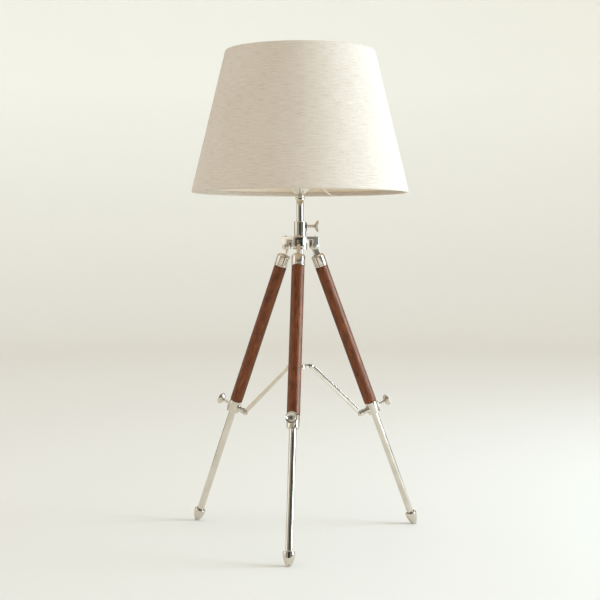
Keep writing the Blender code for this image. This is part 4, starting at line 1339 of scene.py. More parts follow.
@dataclass
class Tripod:
    """The three legs: ferrule, tube, leather, collar, thumb screw, lower tube and foot."""

    tube_wall: float = 1.0 * MM
    gap: float = 0.3 * MM
    lower_radius: float = 5.0 * MM
    pad_width: float = 7.0 * MM
    pad_height: float = 13.0 * MM
    barrel: float = 4.0 * MM
    flange: float = 5.0 * MM
    flange_width: float = 1.5 * MM
    bar_slot: float = 2.6 * MM
    tongue: float = 5.0 * MM
    tongue_radius: float = 4.4 * MM
    hinge_hole: float = 1.8 * MM
    pin_radius: float = 1.2 * MM
    pin_hole: float = 1.35 * MM
    pad_sunk: float = 1.2 * MM
    pad_edge: float = 0.5 * MM
    screw_hole: float = 2.25 * MM
    ferrule_shoulder: float = 12.5 * MM
    ferrule_crown: float = 2.4 * MM
    ferrule_floor: float = 4.5 * MM
    foot_socket: float = 9.0 * MM
    foot_nose: float = 3.9 * MM
    foot_shoulder: float = 2.4 * MM
    foot_round: float = 1.6 * MM
    foot_fullness: float = 2.1
    socket_recess: float = 1.3 * MM
    socket_rim: float = 0.75 * MM

    def __post_init__(self) -> None:
        """Read the leg's places from the frame, in the front leg's own axes."""
        axes = leg_axes(Side.FRONT)
        turn = axes.inverted()
        self.leather = span("leather_front", axes)
        self.ferrule = span("ferrule_front", axes)
        self.tube = span("leg_tube_front", axes)
        self.collar = span("collar_front", axes)
        self.lower = span("lower_tube_front", axes)
        self.bush = span("guide_bush_front", axes)
        self.foot = span("foot_front", axes)
        self.screw = span("thumb_screw_front", axes)
        self.crossing = (turn @ Vector(JOINTS["leg_screw_front_turn"]["pos_m"])).z
        self.bar_pivot = (turn @ Vector(JOINTS["bar_front_fold"]["pos_m"])).x

    def ferrule_mesh(self) -> bpy.types.Mesh:
        """Make the ferrule.

        Returns:
            The cup on the leg tube, with the tongue that hinges in the hub.
        """
        outer = self.ferrule[1].y
        bore = self.tube[1].y + self.gap
        top = -self.ferrule_shoulder
        floor = top - self.ferrule_floor
        low = self.ferrule[0].z
        crown = [(0.0, top), (outer - self.ferrule_crown, top), (outer, top - self.ferrule_crown)]
        groove = [(outer, low + 3.2 * MM), (outer - 0.35 * MM, low + 2.8 * MM), (outer, low + 2.4 * MM)]
        section = crown + groove + [(outer, low), (bore, low), (bore, floor), (0.0, floor)]
        cup = spun(soften(section, 0.8 * MM), around(Sides.ROUND))
        root = top - 2.2 * MM
        outline = arc((0.0, 0.0), self.tongue_radius, 0, 180, 20)
        outline += [(-self.tongue_radius, root), (self.tongue_radius, root)]
        hole = rod((0, -self.tongue, 0), (0, self.tongue, 0), self.hinge_hole, 0.0, Sides.SMALL)
        return combined(cup, [plate(outline, self.tongue, 0.45 * MM)], [hole])

    def collar_mesh(self) -> bpy.types.Mesh:
        """Make the collar at the lower end of the upper leg.

        Returns:
            The collar with its clamp pad towards +X and its slotted barrel towards the stem.
        """
        outer = self.collar[1].y
        high = self.collar[1].z
        low = self.collar[0].z
        seat = self.tube[1].y + self.gap
        bore = self.lower_radius + self.gap
        step = self.tube[0].z - self.gap
        section = [(outer, high), (outer, low), (bore, low), (bore, step), (seat, step), (seat, high)]
        body = spun(soften(section, 0.55 * MM, closed=True), around(Sides.ROUND), closed=True)
        level = self.crossing
        half = self.pad_width / 2
        face = self.collar[1].x
        rise = self.pad_height / 2
        pad_low = (outer - self.pad_sunk, -half, level - rise)
        pad = block(pad_low, (face, half, level + rise), self.pad_edge)
        root = -bore - 0.8 * MM
        barrel = rod((root, 0, level), (self.collar[0].x, 0, level), self.barrel, 0.7 * MM, Sides.SMALL)
        shoulder = -outer - self.flange_width
        flange = rod((root, 0, level), (shoulder, 0, level), self.flange, 0.45 * MM, Sides.SMALL)
        start = (bore - MM, 0, level)
        hole = rod(start, (face + MM, 0, level), self.screw_hole, 0.0, Sides.SMALL)
        reach = self.barrel + MM
        pivot = self.bar_pivot
        pin_hole = rod((pivot, -reach, level), (pivot, reach, level), self.pin_hole, 0.0, Sides.SMALL)
        slot_end = self.bar_pivot + 5.0 * MM
        slot = block(
            (self.collar[0].x - MM, -self.bar_slot / 2, level - 2 * self.barrel),
            (slot_end, self.bar_slot / 2, level + 2 * self.barrel),
            0.0,
        )
        return combined(body, [pad, flange, barrel], [hole, slot, pin_hole])

    def foot_mesh(self) -> bpy.types.Mesh:
        """Make the bullet-shaped foot, cut level where it stands.

        Returns:
            The foot with its recessed socket for the lower tube.
        """
        wide = self.foot[1].y
        top = self.foot[1].z
        socket = self.lower_radius + self.gap
        nose = self.foot_nose
        up = leg_axes(Side.FRONT).inverted().to_3x3() @ Vector((0, 0, 1))
        stand = Vector((0.0, 0.0, (leg_axes(Side.FRONT).inverted() @ self.contact()).z))
        tip = stand.z + 2.0 * MM
        shoulder = top - self.foot_shoulder
        flank = []
        for step in range(1, 17):
            narrowed = (wide - nose) * (step / 16) ** self.foot_fullness
            flank.append((wide - narrowed, shoulder + (tip - shoulder) * step / 16))
        floor = top - self.foot_socket
        recess = top - self.socket_recess
        rim_radius = socket + self.socket_rim
        section = [(0.0, floor), (socket, floor), (socket, recess), (rim_radius, recess), (rim_radius, top)]
        corner = (wide - self.foot_round, top - self.foot_round)
        section += arc(corner, self.foot_round, 90, 0, 6) + flank
        section += arc((0.0, tip), nose, -8, -90, 9)[:-1] + [(0.0, tip - nose)]
        mesh = spun(section, around(Sides.ROUND))
        work = bmesh.new()
        work.from_mesh(mesh)
        everything = work.verts[:] + work.edges[:] + work.faces[:]
        cut = bmesh.ops.bisect_plane(work, geom=everything, plane_co=stand, plane_no=-up, clear_outer=True)
        rim = [item for item in cut["geom_cut"] if isinstance(item, bmesh.types.BMEdge)]
        bmesh.ops.contextual_create(work, geom=rim)
        return finished(work)

    def contact(self) -> Vector:
        """The point where the front leg's axis meets the floor.

        Returns:
            The point, in the lamp's axes.
        """
        axes = leg_axes(Side.FRONT)
        down = -axes.col[2].to_3d()
        start = axes.translation
        return start + down * (start.z / -down.z)

    def tube_mesh(self, box: tuple[Vector, Vector]) -> bpy.types.Mesh:
        """A tube that fills a measured length, with the common wall."""
        outer = box[1].y
        return ring(outer, outer - self.tube_wall, box[0].z, box[1].z, 0.3 * MM, Sides.ROUND)

    def build(self) -> None:
        """Make each shape once and place it on the three legs."""
        low, high = self.leather
        wrap = LeatherWrap(high.y, self.tube[1].y + self.gap, high.z, low.z)
        bush_bore = self.lower_radius + self.gap
        bush = ring(self.bush[1].y, bush_bore, self.bush[0].z, self.bush[1].z, 0.3 * MM, Sides.SMALL)
        half = self.barrel - self.gap
        pin = rod((0, 0, -half), (0, 0, half), self.pin_radius, 0.3 * MM, Sides.SMALL)
        screw = ThumbScrew(self.screw[0].x, self.screw[1].x, self.screw[1].y).mesh()
        upper = [
            ("ferrule_cup", self.ferrule_mesh(), NICKEL, "ferrule"),
            ("inner_tube", self.tube_mesh(self.tube), NICKEL, "leg_tube"),
            ("leather_sleeve", wrap.mesh(), LEATHER, "leather"),
            ("leg_collar", self.collar_mesh(), NICKEL, "collar"),
        ]
        lower = [
            ("sliding_tube", self.tube_mesh(self.lower), NICKEL, "lower_tube"),
            ("guide_sleeve", bush, BLACK_PLASTIC, "guide_bush"),
            ("bullet_foot", self.foot_mesh(), NICKEL, "foot"),
        ]
        thread = wrap.thread_mesh()
        across = Matrix.Rotation(math.pi / 2, 4, "X")
        for side in Side:
            axes = leg_axes(side)
            name = side.value
            for label, mesh, finish, node in upper:
                piece = place(f"{label}_{name}", mesh, finish, f"leg_{name}", axes, [f"{node}_{name}"])
            sewing = place(f"leather_thread_{name}", thread, THREAD, f"leg_{name}", axes)
            pivot = axes @ Matrix.Translation((self.bar_pivot, 0, self.crossing)) @ across
            place(f"barrel_pin_{name}", pin, NICKEL, f"leg_{name}", pivot, [f"bar_pin_{name}"])
            out = axes @ Matrix.Translation((0, 0, self.crossing)) @ Matrix.Rotation(math.pi / 2, 4, "Y")
            body = f"leg_screw_{name}"
            place(f"leg_screw_dish_{name}", screw, SATIN_NICKEL, body, out, [f"thumb_screw_{name}"])
            for label, mesh, finish, node in lower:
                place(f"{label}_{name}", mesh, finish, f"lower_leg_{name}", axes, [f"{node}_{name}"])


# Spreader


@dataclass
class Spreader:
    """The centre piece and the three flat bars that hold the legs together."""

    axis: Matrix
    half_width: float = 3.2 * MM
    bar_thickness: float = 2.0 * MM
    pin_hole: float = 1.35 * MM
    disc: float = 8.5 * MM
    height: float = 6.4 * MM
    lug_reach: float = 18.5 * MM
    lug_thickness: float = 2.0 * MM
    lug_gap: float = 0.3 * MM
    rivet: float = 2.4 * MM
    rivet_height: float = 0.9 * MM
    fasteners: Fasteners = Fasteners()

    def centre_mesh(self) -> bpy.types.Mesh:
        """Make the centre piece.

        Returns:
            A crowned disc with a flat lug and a rivet's tail for each bar.
        """
        half = self.height / 2
        crown = [(0.0, half + MM), (self.disc - 3.4 * MM, half + MM), (self.disc, half - MM)]
        section = crown + [(self.disc, -half), (0.0, -half)]
        disc = spun(soften(section, 0.7 * MM), around(Sides.FINE))
        beside = self.bar_thickness / 2 + self.lug_gap + self.lug_thickness / 2
        outline = slab((2 * MM, 0.0), (self.lug_reach, 0.0), self.half_width)
        lug = plate(outline, self.lug_thickness, 0.35 * MM, beside)
        face = beside + self.lug_thickness / 2
        end = face + self.rivet_height
        reach = self.lug_reach
        tail = rod((reach, face - MM, 0), (reach, end, 0), self.rivet, 0.6 * MM, Sides.SMALL)
        turns = []
        for side in Side:
            out = self.axis.inverted() @ Vector(JOINTS[f"leg_{side.value}_fold"]["pos_m"])
            turns.append(spin(math.degrees(math.atan2(out.y, out.x))))
        return combined(disc, [moved(shape, turn) for turn in turns for shape in (lug, tail)])

    def bar_mesh(self, length: float) -> bpy.types.Mesh:
        """A flat bar along +X with round ends, rounded rims and a hole at each end.

        Args:
            length: distance between the two holes.

        Returns:
            The bar, centred on its first hole.
        """
        bar = plate(slab((0.0, 0.0), (length, 0.0), self.half_width), self.bar_thickness, 0.4 * MM)
        deep = 5 * MM
        holes = [
            rod((x, -deep, 0), (x, deep, 0), self.pin_hole, 0.0, Sides.SMALL) for x in (0.0, length)
        ]
        return combined(bar, cut=holes)

    def build(self) -> None:
        """Make and place the centre piece, the bars and their rivets."""
        low = span("spreader_centre", self.axis)[0]
        at = self.axis @ Matrix.Translation((0, 0, low.z + self.height / 2))
        place("spreader_hub", self.centre_mesh(), NICKEL, "spreader", at, ["spreader_centre"])
        length = bar_axes(Side.FRONT)[1]
        bar = self.bar_mesh(length)
        rivet = self.fasteners.screw(self.bar_thickness, 1.2 * MM, self.rivet, self.rivet_height, False)
        for side in Side:
            axes = bar_axes(side)[0]
            name = side.value
            place(f"flat_bar_{name}", bar, NICKEL, f"bar_{name}", axes, [f"spreader_bar_{name}"])
            onto_bar = Matrix.Translation((length, -self.bar_thickness / 2, 0))
            head = onto_bar @ Matrix.Rotation(math.pi / 2, 4, "X")
            place(f"rivet_{name}", rivet, NICKEL, f"bar_{name}", axes @ head, [f"bar_rivet_{name}"])


# Stem, holder and bulb


@dataclass
class Holder:
    """The stem and the lamp holder on it, with the two rings that grip the shade's fitter."""

    axis: Matrix
    wall: float = 1.0 * MM
    bore: float = 5.15 * MM
    dome_wall: float = 1.6 * MM
    dome_swell: float = 1.64
    thread_pitch: float = 2.5 * MM
    thread_depth: float = 0.45 * MM
    grips: int = 36
    grip_depth: float = 0.32 * MM

    def turned(
        self, name: str, node: str, section: Outline, finish: Finish, body: str, closed: bool
    ) -> None:
        """Turn a plain section and place it.

        Args:
            name: the piece's name.
            node: the frame node that it replaces.
            section: its section.
            finish: its finish.
            body: the body that carries it.
            closed: whether the section is a closed loop.
        """
        place(name, spun(section, around(Sides.FINE), closed=closed), finish, body, self.axis, [node])

    def dome_section(self, ring_radius: float) -> Outline:
        """Draw the dome.

        Args:
            ring_radius: its radius at the bottom, on the coupling ring.

        Returns:
            Its closed section: the swelling outside, a flat rim and the hollow inside.
        """
        low, high = span("holder_dome", self.axis)
        tall = high.z - low.z
        shares = [1 - step / 28 for step in range(29)]
        outside = []
        for share in shares:
            bulge = (high.x - ring_radius) * (1 - (1 - share) ** self.dome_swell)
            outside.append((ring_radius + bulge, low.z + tall * share))
        inside = [(max(radius - self.dome_wall, self.bore), height) for radius, height in reversed(outside)]
        inside[0] = (self.bore, low.z)
        lip = [(inside[-1][0], high.z)]
        return outside + inside[::4] + lip

    def thread(self, outer: float, pitch: float, depth: float, low: float, high: float) -> Shift:
        """Give the shift that cuts a screw thread into a turned piece's outside.

        Args:
            outer: radius of the surface that is cut.
            pitch: the thread's pitch.
            depth: the thread's depth.
            low: where the thread ends.
            high: where the thread starts.

        Returns:
            The shift for spun.
        """

        def cut(angle: float, radius: float, height: float) -> float:
            """How far a point moves outwards.

            Args:
                angle: its angle around the axis.
                radius: its distance from the axis.
                height: its height.

            Returns:
                The move, negative for inwards.
            """
            if abs(radius - outer) > 0.01 * MM:
                return 0.0
            fade = min(1.0, max(0.0, min(height - low, high - height) / pitch))
            wave = 0.5 - 0.5 * math.cos(2 * math.pi * (height / pitch - angle / (2 * math.pi)))
            return -depth * fade * wave

        return cut

    def grip(self, outer: float) -> Shift:
        """The shift that ribs a ring's outside for the fingers.

        Args:
            outer: the ring's outer radius.

        Returns:
            The shift, for a spun section.
        """

        def ribbed(angle: float, radius: float, height: float) -> float:
            """How far a point moves outwards.

            Args:
                angle: its angle around the axis.
                radius: its distance from the axis.
                height: its height.

            Returns:
                The move, negative for inwards.
            """
            if radius < outer - 0.9 * MM:
                return 0.0
            return -self.grip_depth * abs(math.sin(self.grips * angle / 2)) ** 3

        return ribbed

    def fine_side(self, radius: float, high: float, low: float, step: float) -> Outline:
        """Points down a straight side, a step apart."""
        count = max(2, round((high - low) / step))
        return [(radius, high + (low - high) * index / count) for index in range(count + 1)]

    def build(self) -> None:
        """Make and place the stem, its bush, the holder and its rings."""
        low, high = span("stem_tube", self.axis)
        tube = ring(high.x, high.x - self.wall, low.z, high.z, 0.3 * MM, Sides.FINE)
        place("stem_pipe", tube, NICKEL, "stem", self.axis, ["stem_tube"])
        low, high = span("cord_bush", self.axis)
        flange = low.z + 2.2 * MM
        plug = high.x - 1.3 * MM
        hole = 3.1 * MM
        section = [(plug, high.z), (plug, flange), (high.x, flange), (high.x - 0.5 * MM, low.z)]
        section = soften(section + [(hole, low.z), (hole, high.z)], 0.5 * MM, closed=True)
        self.turned("stem_bush", "cord_bush", section, BLACK_PLASTIC, "stem", True)
        low, high = span("coupling_ring", self.axis)
        waist = (low.z + high.z) / 2
        bead = [(high.x, waist + 0.5 * MM), (high.x - 0.35 * MM, waist), (high.x, waist - 0.5 * MM)]
        section = [(high.x, high.z), *bead, (high.x, low.z), (self.bore, low.z), (self.bore, high.z)]
        section = soften(section, 0.6 * MM, closed=True)
        self.turned("neck_ring", "coupling_ring", section, NICKEL, "head", True)
        self.turned("dome_cover", "holder_dome", self.dome_section(high.x), NICKEL, "head", True)
        self.build_skirt()
        self.build_rings()

    def build_skirt(self) -> None:
        """Make and place the threaded skirt, the porcelain insert and the contact."""
        low, high = span("holder_skirt", self.axis)
        inner = high.x - 2.0 * MM
        side = self.fine_side(high.x, high.z - 0.6 * MM, low.z + 0.4 * MM, 0.35 * MM)
        section = [(high.x - 0.5 * MM, high.z), *side, (inner, low.z), (inner, high.z)]
        cut = self.thread(high.x, self.thread_pitch, self.thread_depth, low.z + 3 * MM, high.z)
        skirt = spun(section, around(Sides.FINE), cut, closed=True)
        place("holder_sleeve", skirt, WHITE_PLASTIC, "head", self.axis, ["holder_skirt"])
        low, high = span("holder_insulator", self.axis)
        bore = 13.6 * MM
        hole = 2.3 * MM
        floor = low.z + 5.7 * MM
        outside = [(high.x, high.z), (high.x, low.z)]
        section = outside + [(hole, low.z), (hole, floor), (bore, floor), (bore, high.z)]
        section = soften(section, 0.6 * MM, closed=True)
        self.turned("porcelain_insert", "holder_insulator", section, PORCELAIN, "head", True)
        low, high = span("holder_contact", self.axis)
        under = high.z - 1.5 * MM
        stem = 2.0 * MM
        section = [(0.0, high.z), (high.x, high.z), (high.x, under)]
        section += [(stem, under), (stem, low.z), (0.0, low.z)]
        self.turned("brass_contact", "holder_contact", soften(section, 0.4 * MM), BRASS, "head", False)

    def build_rings(self) -> None:
        """Make and place the two ribbed rings on the skirt."""
        for node, body in (("shade_ring_lower", "lower_ring"), ("shade_ring_upper", "upper_ring")):
            low, high = span(node, self.axis)
            outer = high.x
            inner = span("holder_skirt", self.axis)[1].x + 0.3 * MM
            corners = [(outer, high.z), (outer, low.z), (inner, low.z), (inner, high.z)]
            section = soften(corners, MM, closed=True)
            angles = [2 * math.pi * step / (8 * self.grips) for step in range(8 * self.grips)]
            mesh = spun(section, angles, self.grip(outer), closed=True)
            place(f"ribbed_{node}", mesh, WHITE_PLASTIC, body, self.axis, [node])


@dataclass
class Bulb:
    """A frosted bulb with a screw cap."""

    axis: Matrix
    pitch: float = 3.6 * MM
    depth: float = 0.75 * MM
    glass_wall: float = 0.8 * MM

    def cap_section(self, low: float, high: float, radius: float) -> Outline:
        """Draw the cap from its top to its tip.

        Args:
            low: height of its tip.
            high: height of its top.
            radius: its radius.

        Returns:
            Its section.
        """
        shoulder = low + 6 * MM
        side = [(radius, high - 0.4 * MM - (high - shoulder - 0.4 * MM) * step / 56) for step in range(57)]
        cone = [(radius - 2 * MM, low + 4 * MM), (4.5 * MM, low + MM), (4.5 * MM, low + 0.3 * MM)]
        return [(0.0, high), (radius - 0.6 * MM, high), *side, *cone, (4.0 * MM, low), (0.0, low)]

    def glass_section(self, inset: float) -> Outline:
        """Draw half of the glass.

        Args:
            inset: how far it is moved in from the outer surface.

        Returns:
            Its points from the crown to the neck.
        """
        low, high = span("bulb_glass", self.axis)
        globe = high.x
        centre = high.z - globe
        neck = span("bulb_cap", self.axis)[1].x - 0.3 * MM - inset
        crown = arc((0.0, centre), globe - inset, 90, -35, 40)
        crown[0] = (0.0, crown[0][1])
        start = Vector(crown[-1])
        pull = start + Vector((-0.57, -0.82)) * 24 * MM
        hold = Vector((neck, low.z + 26 * MM))
        end = Vector((neck, low.z + 4 * MM))
        flank = []
        for step in range(1, 21):
            t = step / 20
            first = start * (1 - t) ** 3 + pull * 3 * t * (1 - t) ** 2
            point = first + hold * 3 * t * t * (1 - t) + end * t**3
            flank.append((point.x, point.y))
        return crown + flank + [(neck, low.z)]

    def build(self) -> None:
        """Make and place the cap and the glass."""
        low, high = span("bulb_cap", self.axis)
        holder = Holder(self.axis)
        cut = holder.thread(high.x, self.pitch, self.depth, low.z + 5 * MM, high.z - 4 * MM)
        section = self.cap_section(low.z, high.z, high.x)
        cap = spun(section, around(Sides.FINE), cut)
        place("screw_cap", cap, NICKEL, "bulb", self.axis, ["bulb_cap"])
        section = self.glass_section(0.0) + self.glass_section(self.glass_wall)[::-1]
        glass = spun(section, around(Sides.FINE))
        place("glass_globe", glass, BULB_GLASS, "bulb", self.axis, ["bulb_glass"])


# Shade


@dataclass
class Shade:
    """Tapered drum: linen over a laminate, rolled over two wire rings, on a three-armed frame."""

    axis: Matrix
    cloth: float = 0.55 * MM
    film: float = 0.45 * MM
    wire: float = 1.2 * MM
    tuck: float = 4.6 * MM
    overlap: float = 9.0 * MM
    seam_lift: float = 0.5 * MM
    seam_edge: float = 0.16 * MM
    seam_fade: float = 4 * MM
    waviness: float = 0.16 * MM
    calm_rim: float = 12 * MM

    def __post_init__(self) -> None:
        """Read the drum's rims from the frame."""
        low, high = span("shade_fabric", self.axis)
        self.low = low.z
        self.high = high.z
        self.low_radius = high.x
        turn = self.axis.inverted()
        points = [turn @ vertex.co for vertex in frame["nodes"]["shade_fabric"].data.vertices]
        self.high_radius = max(point.to_2d().length for point in points if point.z > self.high - MM)
        self.slope = (self.low_radius - self.high_radius) / (self.high - self.low)
        self.bead = (self.cloth + self.film + 2 * self.wire + 0.5 * self.cloth) / 2

    def face(self, height: float) -> float:
        """Outer radius of the drum at a height."""
        return self.low_radius - self.slope * (height - self.low)

    def rim(self, upper: bool) -> tuple[float, float]:
        """The middle of a rolled rim, as (radius, height)."""
        height = self.high - self.bead if upper else self.low + self.bead
        return self.face(height) - self.bead - self.cloth / 2, height

    def centreline(self) -> Outline:
        """Draw the middle of the linen's thickness.

        Returns:
            Points from the upper tuck, over the upper rim, down the drum and round the lower rim.
        """
        upper = self.rim(True)
        lower = self.rim(False)
        behind = 1.5 * self.cloth + self.film + 0.12 * MM
        top_tuck = upper[1] - self.tuck
        low_tuck = lower[1] + self.tuck
        straight = 1.5 * MM
        top_inside = self.face(top_tuck) - behind
        path = [(top_inside, top_tuck), (top_inside, top_tuck + straight)]
        path += arc(upper, self.bead, 195, 10, 16)
        rows = 56
        start = upper[1] - 0.4 * MM
        end = lower[1] + 0.4 * MM
        for row in range(rows + 1):
            height = start + (end - start) * row / rows
            path.append((self.face(height) - self.cloth / 2, height))
        path += arc(lower, self.bead, -10, -195, 16)
        low_inside = self.face(low_tuck) - behind
        path += [(low_inside, low_tuck - straight), (low_inside, low_tuck)]
        return path

    def thickened(self, path: Outline) -> Outline:
        """Give a path the linen's thickness.

        Args:
            path: the middle of the cloth, with its outer side to the right.

        Returns:
            A closed outline around it.
        """
        outside = []
        inside = []
        for index, point in enumerate(path):
            before = Vector(path[max(0, index - 1)])
            after = Vector(path[min(len(path) - 1, index + 1)])
            way = (after - before).normalized()
            normal = Vector((-way.y, way.x)) * self.cloth / 2
            outside.append(tuple(Vector(point) + normal))
            inside.append(tuple(Vector(point) - normal))
        return outside + inside[::-1]

    def angles(self) -> list[float]:
        """Angles around the drum, closer together at the seam on the back.

        Returns:
            The angles in rising order.
        """
        behind = math.pi / 2
        half = self.overlap / 2
        offsets = [-half - 1.2 * MM + 0.3 * MM * step for step in range(6)]
        near = [behind + side * offset / self.low_radius for offset in offsets for side in (-1, 1)]
        even = [2 * math.pi * step / 240 for step in range(240)]
        return sorted(set(even) | set(near))

    def lift(self, angle: float, radius: float, height: float) -> float:
        """How far the linen stands out: the seam's overlap and the faint waves of hand work.

        Args:
            angle: angle around the drum.
            radius: radius of the undisturbed point.
            height: its height.

        Returns:
            The distance outwards.
        """
        if radius < self.face(height) - 0.5 * self.cloth:
            return 0.0
        off = abs(angle - math.pi / 2) * self.low_radius - self.overlap / 2
        seam = 0.0
        if abs(off) < self.seam_fade:
            seam = self.seam_lift / (1 + math.exp(off / self.seam_edge))
        elif off < 0.0:
            seam = self.seam_lift
        inset = min(1.0, max(0.0, min(height - self.low, self.high - height) / self.calm_rim))
        where = Vector((math.cos(angle) * 3.1, math.sin(angle) * 3.1, height * 16))
        return seam + inset * self.waviness * noise.noise(where)

    def frame_mesh(self) -> bpy.types.Mesh:
        """Make the wire frame.

        Returns:
            The bottom ring, the three bent arms, their weld beads and the flat fitter ring.
        """
        fitter_high = span("shade_ring_upper", self.axis)[0].z - 0.3 * MM
        fitter_low = span("shade_ring_lower", self.axis)[1].z + 0.3 * MM
        inner = span("holder_skirt", self.axis)[1].x + 0.3 * MM
        outer = inner + 8.2 * MM
        fitter = ring(outer, inner, fitter_low, fitter_high, 0.4 * MM, Sides.FINE)
        rim_radius, rim_height = self.rim(False)
        start = outer - self.wire
        level = (fitter_low + fitter_high) / 2
        bends = ((0.0, 0.0), (0.12, 0.04), (0.5, 0.55), (0.88, 0.97), (1.0, 1.0))
        corners = [
            Vector((start + (rim_radius - start) * out, 0.0, level - (level - rim_height) * down))
            for out, down in bends
        ]
        arm = wires([smooth_path(corners)], self.wire, 4)
        bead = spun(arc((0.0, 0.0), 1.35 * self.wire, 90, -90, 12), around(Sides.SMALL))
        welds = [moved(bead, Matrix.Translation(corners[0])), moved(bead, Matrix.Translation(corners[-1]))]
        hoop = self.hoop_mesh(rim_radius, rim_height)
        turns = [spin(self.arm_azimuth() + 120.0 * index) for index in range(3)]
        parts = [moved(shape, turn) for turn in turns for shape in (arm, *welds)]
        return combined(fitter, parts + [hoop])

    def arm_azimuth(self) -> float:
        """Find where the frame's first arm stands.

        Returns:
            Its azimuth in degrees, from the frame node's own arms.
        """
        turn = self.axis.inverted()
        points = [turn @ vertex.co for vertex in frame["nodes"]["shade_frame"].data.vertices]
        span_out = [point for point in points if 0.3 < point.to_2d().length / self.low_radius < 0.9]
        tripled = sum((Vector((math.cos(3 * a), math.sin(3 * a)))
                       for a in (math.atan2(point.y, point.x) for point in span_out)), Vector((0.0, 0.0)))
        return math.degrees(math.atan2(tripled.y, tripled.x)) / 3

    def hoop_mesh(self, radius: float, height: float) -> bpy.types.Mesh:
        """A round wire ring inside a rim."""
        section = arc((radius, height), self.wire, 90, -270, 16)[:-1]
        return spun(section, around(Sides.WIDE), closed=True)

    def build(self) -> None:
        """Make and place the linen, the laminate, the frame and the top ring."""
        linen = spun(self.thickened(self.centreline()), self.angles(), self.lift, closed=True)
        cover = place("linen_cover", linen, LINEN, "head", self.axis, ["shade_fabric"])
        clear = self.bead + self.wire + 0.4 * MM
        high = self.high - clear
        low = self.low + clear
        behind = self.cloth + 0.05 * MM
        back = behind + self.film
        section = [(self.face(high) - behind, high), (self.face(low) - behind, low)]
        section += [(self.face(low) - back, low), (self.face(high) - back, high)]
        film = spun(section, around(Sides.WIDE), closed=True)
        lining = place("laminate_lining", film, LINING, "head", self.axis, ["shade_lining"])
        place("wire_frame", self.frame_mesh(), WIRE_ENAMEL, "head", self.axis, ["shade_frame"])
        hoop = self.hoop_mesh(*self.rim(True))
        place("top_hoop", hoop, WIRE_ENAMEL, "head", self.axis, ["shade_top_wire"])


# Studio


@dataclass(frozen=True)
class Flag:
    """An upright strip that only reflections see, from one azimuth to another."""

    start: float
    end: float
    tone: float


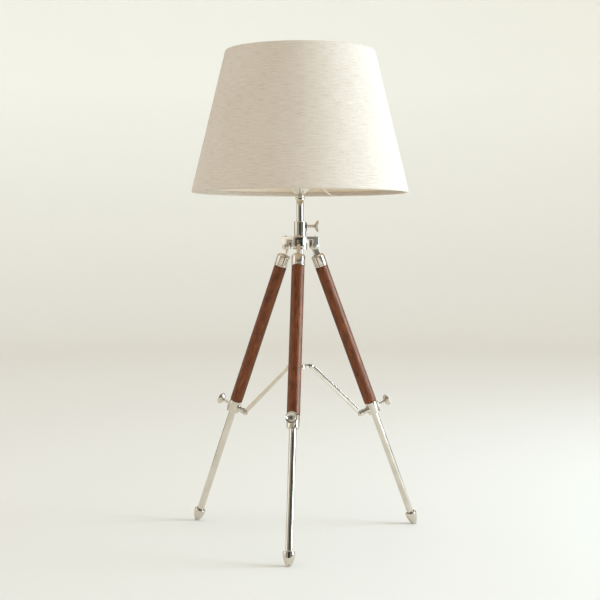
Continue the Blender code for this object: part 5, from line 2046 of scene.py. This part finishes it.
@dataclass
class Studio:
    """A seamless pale sweep, soft lights, flags for the reflections and the camera."""

    axis: Matrix
    floor_radius: float = 3.4
    wall_radius: float = 5.0
    wall_height: float = 2.3
    flag_radius: float = 2.3
    flag_height: float = 5.0
    lens: float = 80.7
    distance: float = 1.894
    eye_height: float = 0.413
    azimuth: float = 4.5
    pitch: float = 2.386
    flags: tuple[Flag, ...] = (
        Flag(-62.0, -18.0, 0.32),
        Flag(-18.0, 18.0, 0.015),
        Flag(18.0, 74.0, 0.18),
        Flag(86.0, 112.0, 0.50),
        Flag(118.0, 146.0, 0.12),
        Flag(-150.0, -122.0, 0.20),
    )

    def sweep(self) -> None:
        """Make the floor, which bends up into a wall all round."""
        bend = self.wall_radius - self.floor_radius
        curve = arc((self.floor_radius, bend), bend, -90, 0, 24)
        section = [(0.0, 0.0), (0.6, 0.0), (1.8, 0.0), *curve, (self.wall_radius, self.wall_height)]
        mesh = spun(section, around(Sides.FINE))
        paper = bpy.data.objects.new("studio_sweep", mesh)
        bpy.context.scene.collection.objects.link(paper)
        mesh.materials.append(PAPER.material())

    def panel(
        self,
        name: str,
        azimuth: float,
        elevation: float,
        distance: float,
        size: tuple[float, float],
        power: float,
        colour: Colour,
    ) -> None:
        """Hang a soft light that faces the lamp.

        Args:
            name: the light's name.
            azimuth: where it hangs, in degrees to the right of the camera.
            elevation: its angle above the lamp's middle.
            distance: how far away it is.
            size: its width and height.
            power: its power in watts.
            colour: its colour.
        """
        aim = self.axis.translation + Vector((0, 0, 0.38))
        turn = math.radians(azimuth + self.azimuth - 90.0)
        rise = math.radians(elevation)
        way = Vector((math.cos(turn) * math.cos(rise), math.sin(turn) * math.cos(rise), math.sin(rise)))
        data = bpy.data.lights.new(name, "AREA")
        data.shape = "RECTANGLE"
        data.size, data.size_y = size
        data.energy = power
        data.color = colour
        light = bpy.data.objects.new(name, data)
        bpy.context.scene.collection.objects.link(light)
        light.location = aim + way * distance
        light.rotation_euler = way.to_track_quat("Z", "Y").to_euler()
        light.visible_camera = False

    def world(self) -> None:
        """Set the soft light that comes down from above the sweep."""
        world = bpy.data.worlds.new("studio_air")
        world.use_nodes = True
        sky = world.node_tree.nodes["Background"]
        sky.inputs["Color"].default_value = (1.0, 0.975, 0.93, 1.0)
        sky.inputs["Strength"].default_value = 1.0
        bpy.context.scene.world = world

    def hang(self, flag: Flag) -> None:
        """Hang a flag round the lamp.

        Args:
            flag: the flag, with azimuths in degrees to the right of the camera.
        """
        steps = max(2, round((flag.end - flag.start) / 6.0))
        sweep = flag.end - flag.start
        turns = [math.radians(flag.start + sweep * step / steps) for step in range(steps + 1)]
        work = bmesh.new()
        rows = []
        for height in (0.03, self.flag_height):
            row = []
            for turn in turns:
                angle = turn + math.radians(self.azimuth - 90.0)
                way = Vector((math.cos(angle), math.sin(angle), 0.0)) * self.flag_radius
                row.append(work.verts.new(self.axis.translation + way + Vector((0.0, 0.0, height))))
            rows.append(row)
        for first, second, third, fourth in zip(rows[0], rows[0][1:], rows[1][1:], rows[1]):
            work.faces.new((first, second, third, fourth))
        mesh = finished(work)
        graph = Graph("flag_cloth")
        weave = graph.noise(graph.places, (90.0, 90.0, 90.0), 2.0)
        tone = tuple(flag.tone * part for part in (1.0, 0.96, 0.9))
        soft = tuple(1.15 * part for part in tone)
        graph.set(Base_Color=graph.blend(weave, tone, soft))
        graph.set(Roughness=graph.spread(weave, 0.3, 0.7, 0.9, 1.0))
        mesh.materials.append(graph.material)
        strip = bpy.data.objects.new("reflection_flag", mesh)
        bpy.context.scene.collection.objects.link(strip)
        strip.visible_camera = False
        strip.visible_diffuse = False
        strip.visible_shadow = False
        strip.visible_transmission = False

    def camera(self) -> None:
        """Set up the camera, level with the middle of the lamp."""
        turn = math.radians(self.azimuth - 90.0)
        data = bpy.data.cameras.new("studio_camera")
        data.lens = self.lens
        data.sensor_width = 36.0
        camera = bpy.data.objects.new("studio_camera", data)
        bpy.context.scene.collection.objects.link(camera)
        out = Vector((math.cos(turn), math.sin(turn), 0.0))
        camera.location = self.axis.translation + out * self.distance + Vector((0, 0, self.eye_height))
        tilt = math.radians(90.0 - self.pitch)
        camera.rotation_euler = (tilt, 0.0, math.radians(self.azimuth))
        bpy.context.scene.camera = camera

    def build(self) -> None:
        """Set up the sweep, the lights and the camera."""
        self.sweep()
        for flag in self.flags:
            self.hang(flag)
        self.world()
        self.panel("key_light", 86.0, 9.0, 2.4, (1.3, 1.2), 79.0, (0.66, 0.85, 1.0))
        self.panel("left_fill", -80.0, 14.0, 2.4, (1.0, 1.6), 2.5, (1.0, 0.96, 0.90))
        self.camera()
        bpy.context.scene.view_settings.view_transform = "Standard"


def main() -> None:
    """Build the studio and every sub-assembly of the lamp."""
    logging.basicConfig(level=logging.INFO, format="%(name)s: %(message)s")
    axis = stem_axis()
    for assembly in (
        Studio(axis),
        Hub(axis),
        Tripod(),
        Spreader(axis),
        Holder(axis),
        Bulb(axis),
        Shade(axis),
    ):
        LOG.info("building %s", type(assembly).__name__)
        assembly.build()


if __name__ == "__main__":
    main()
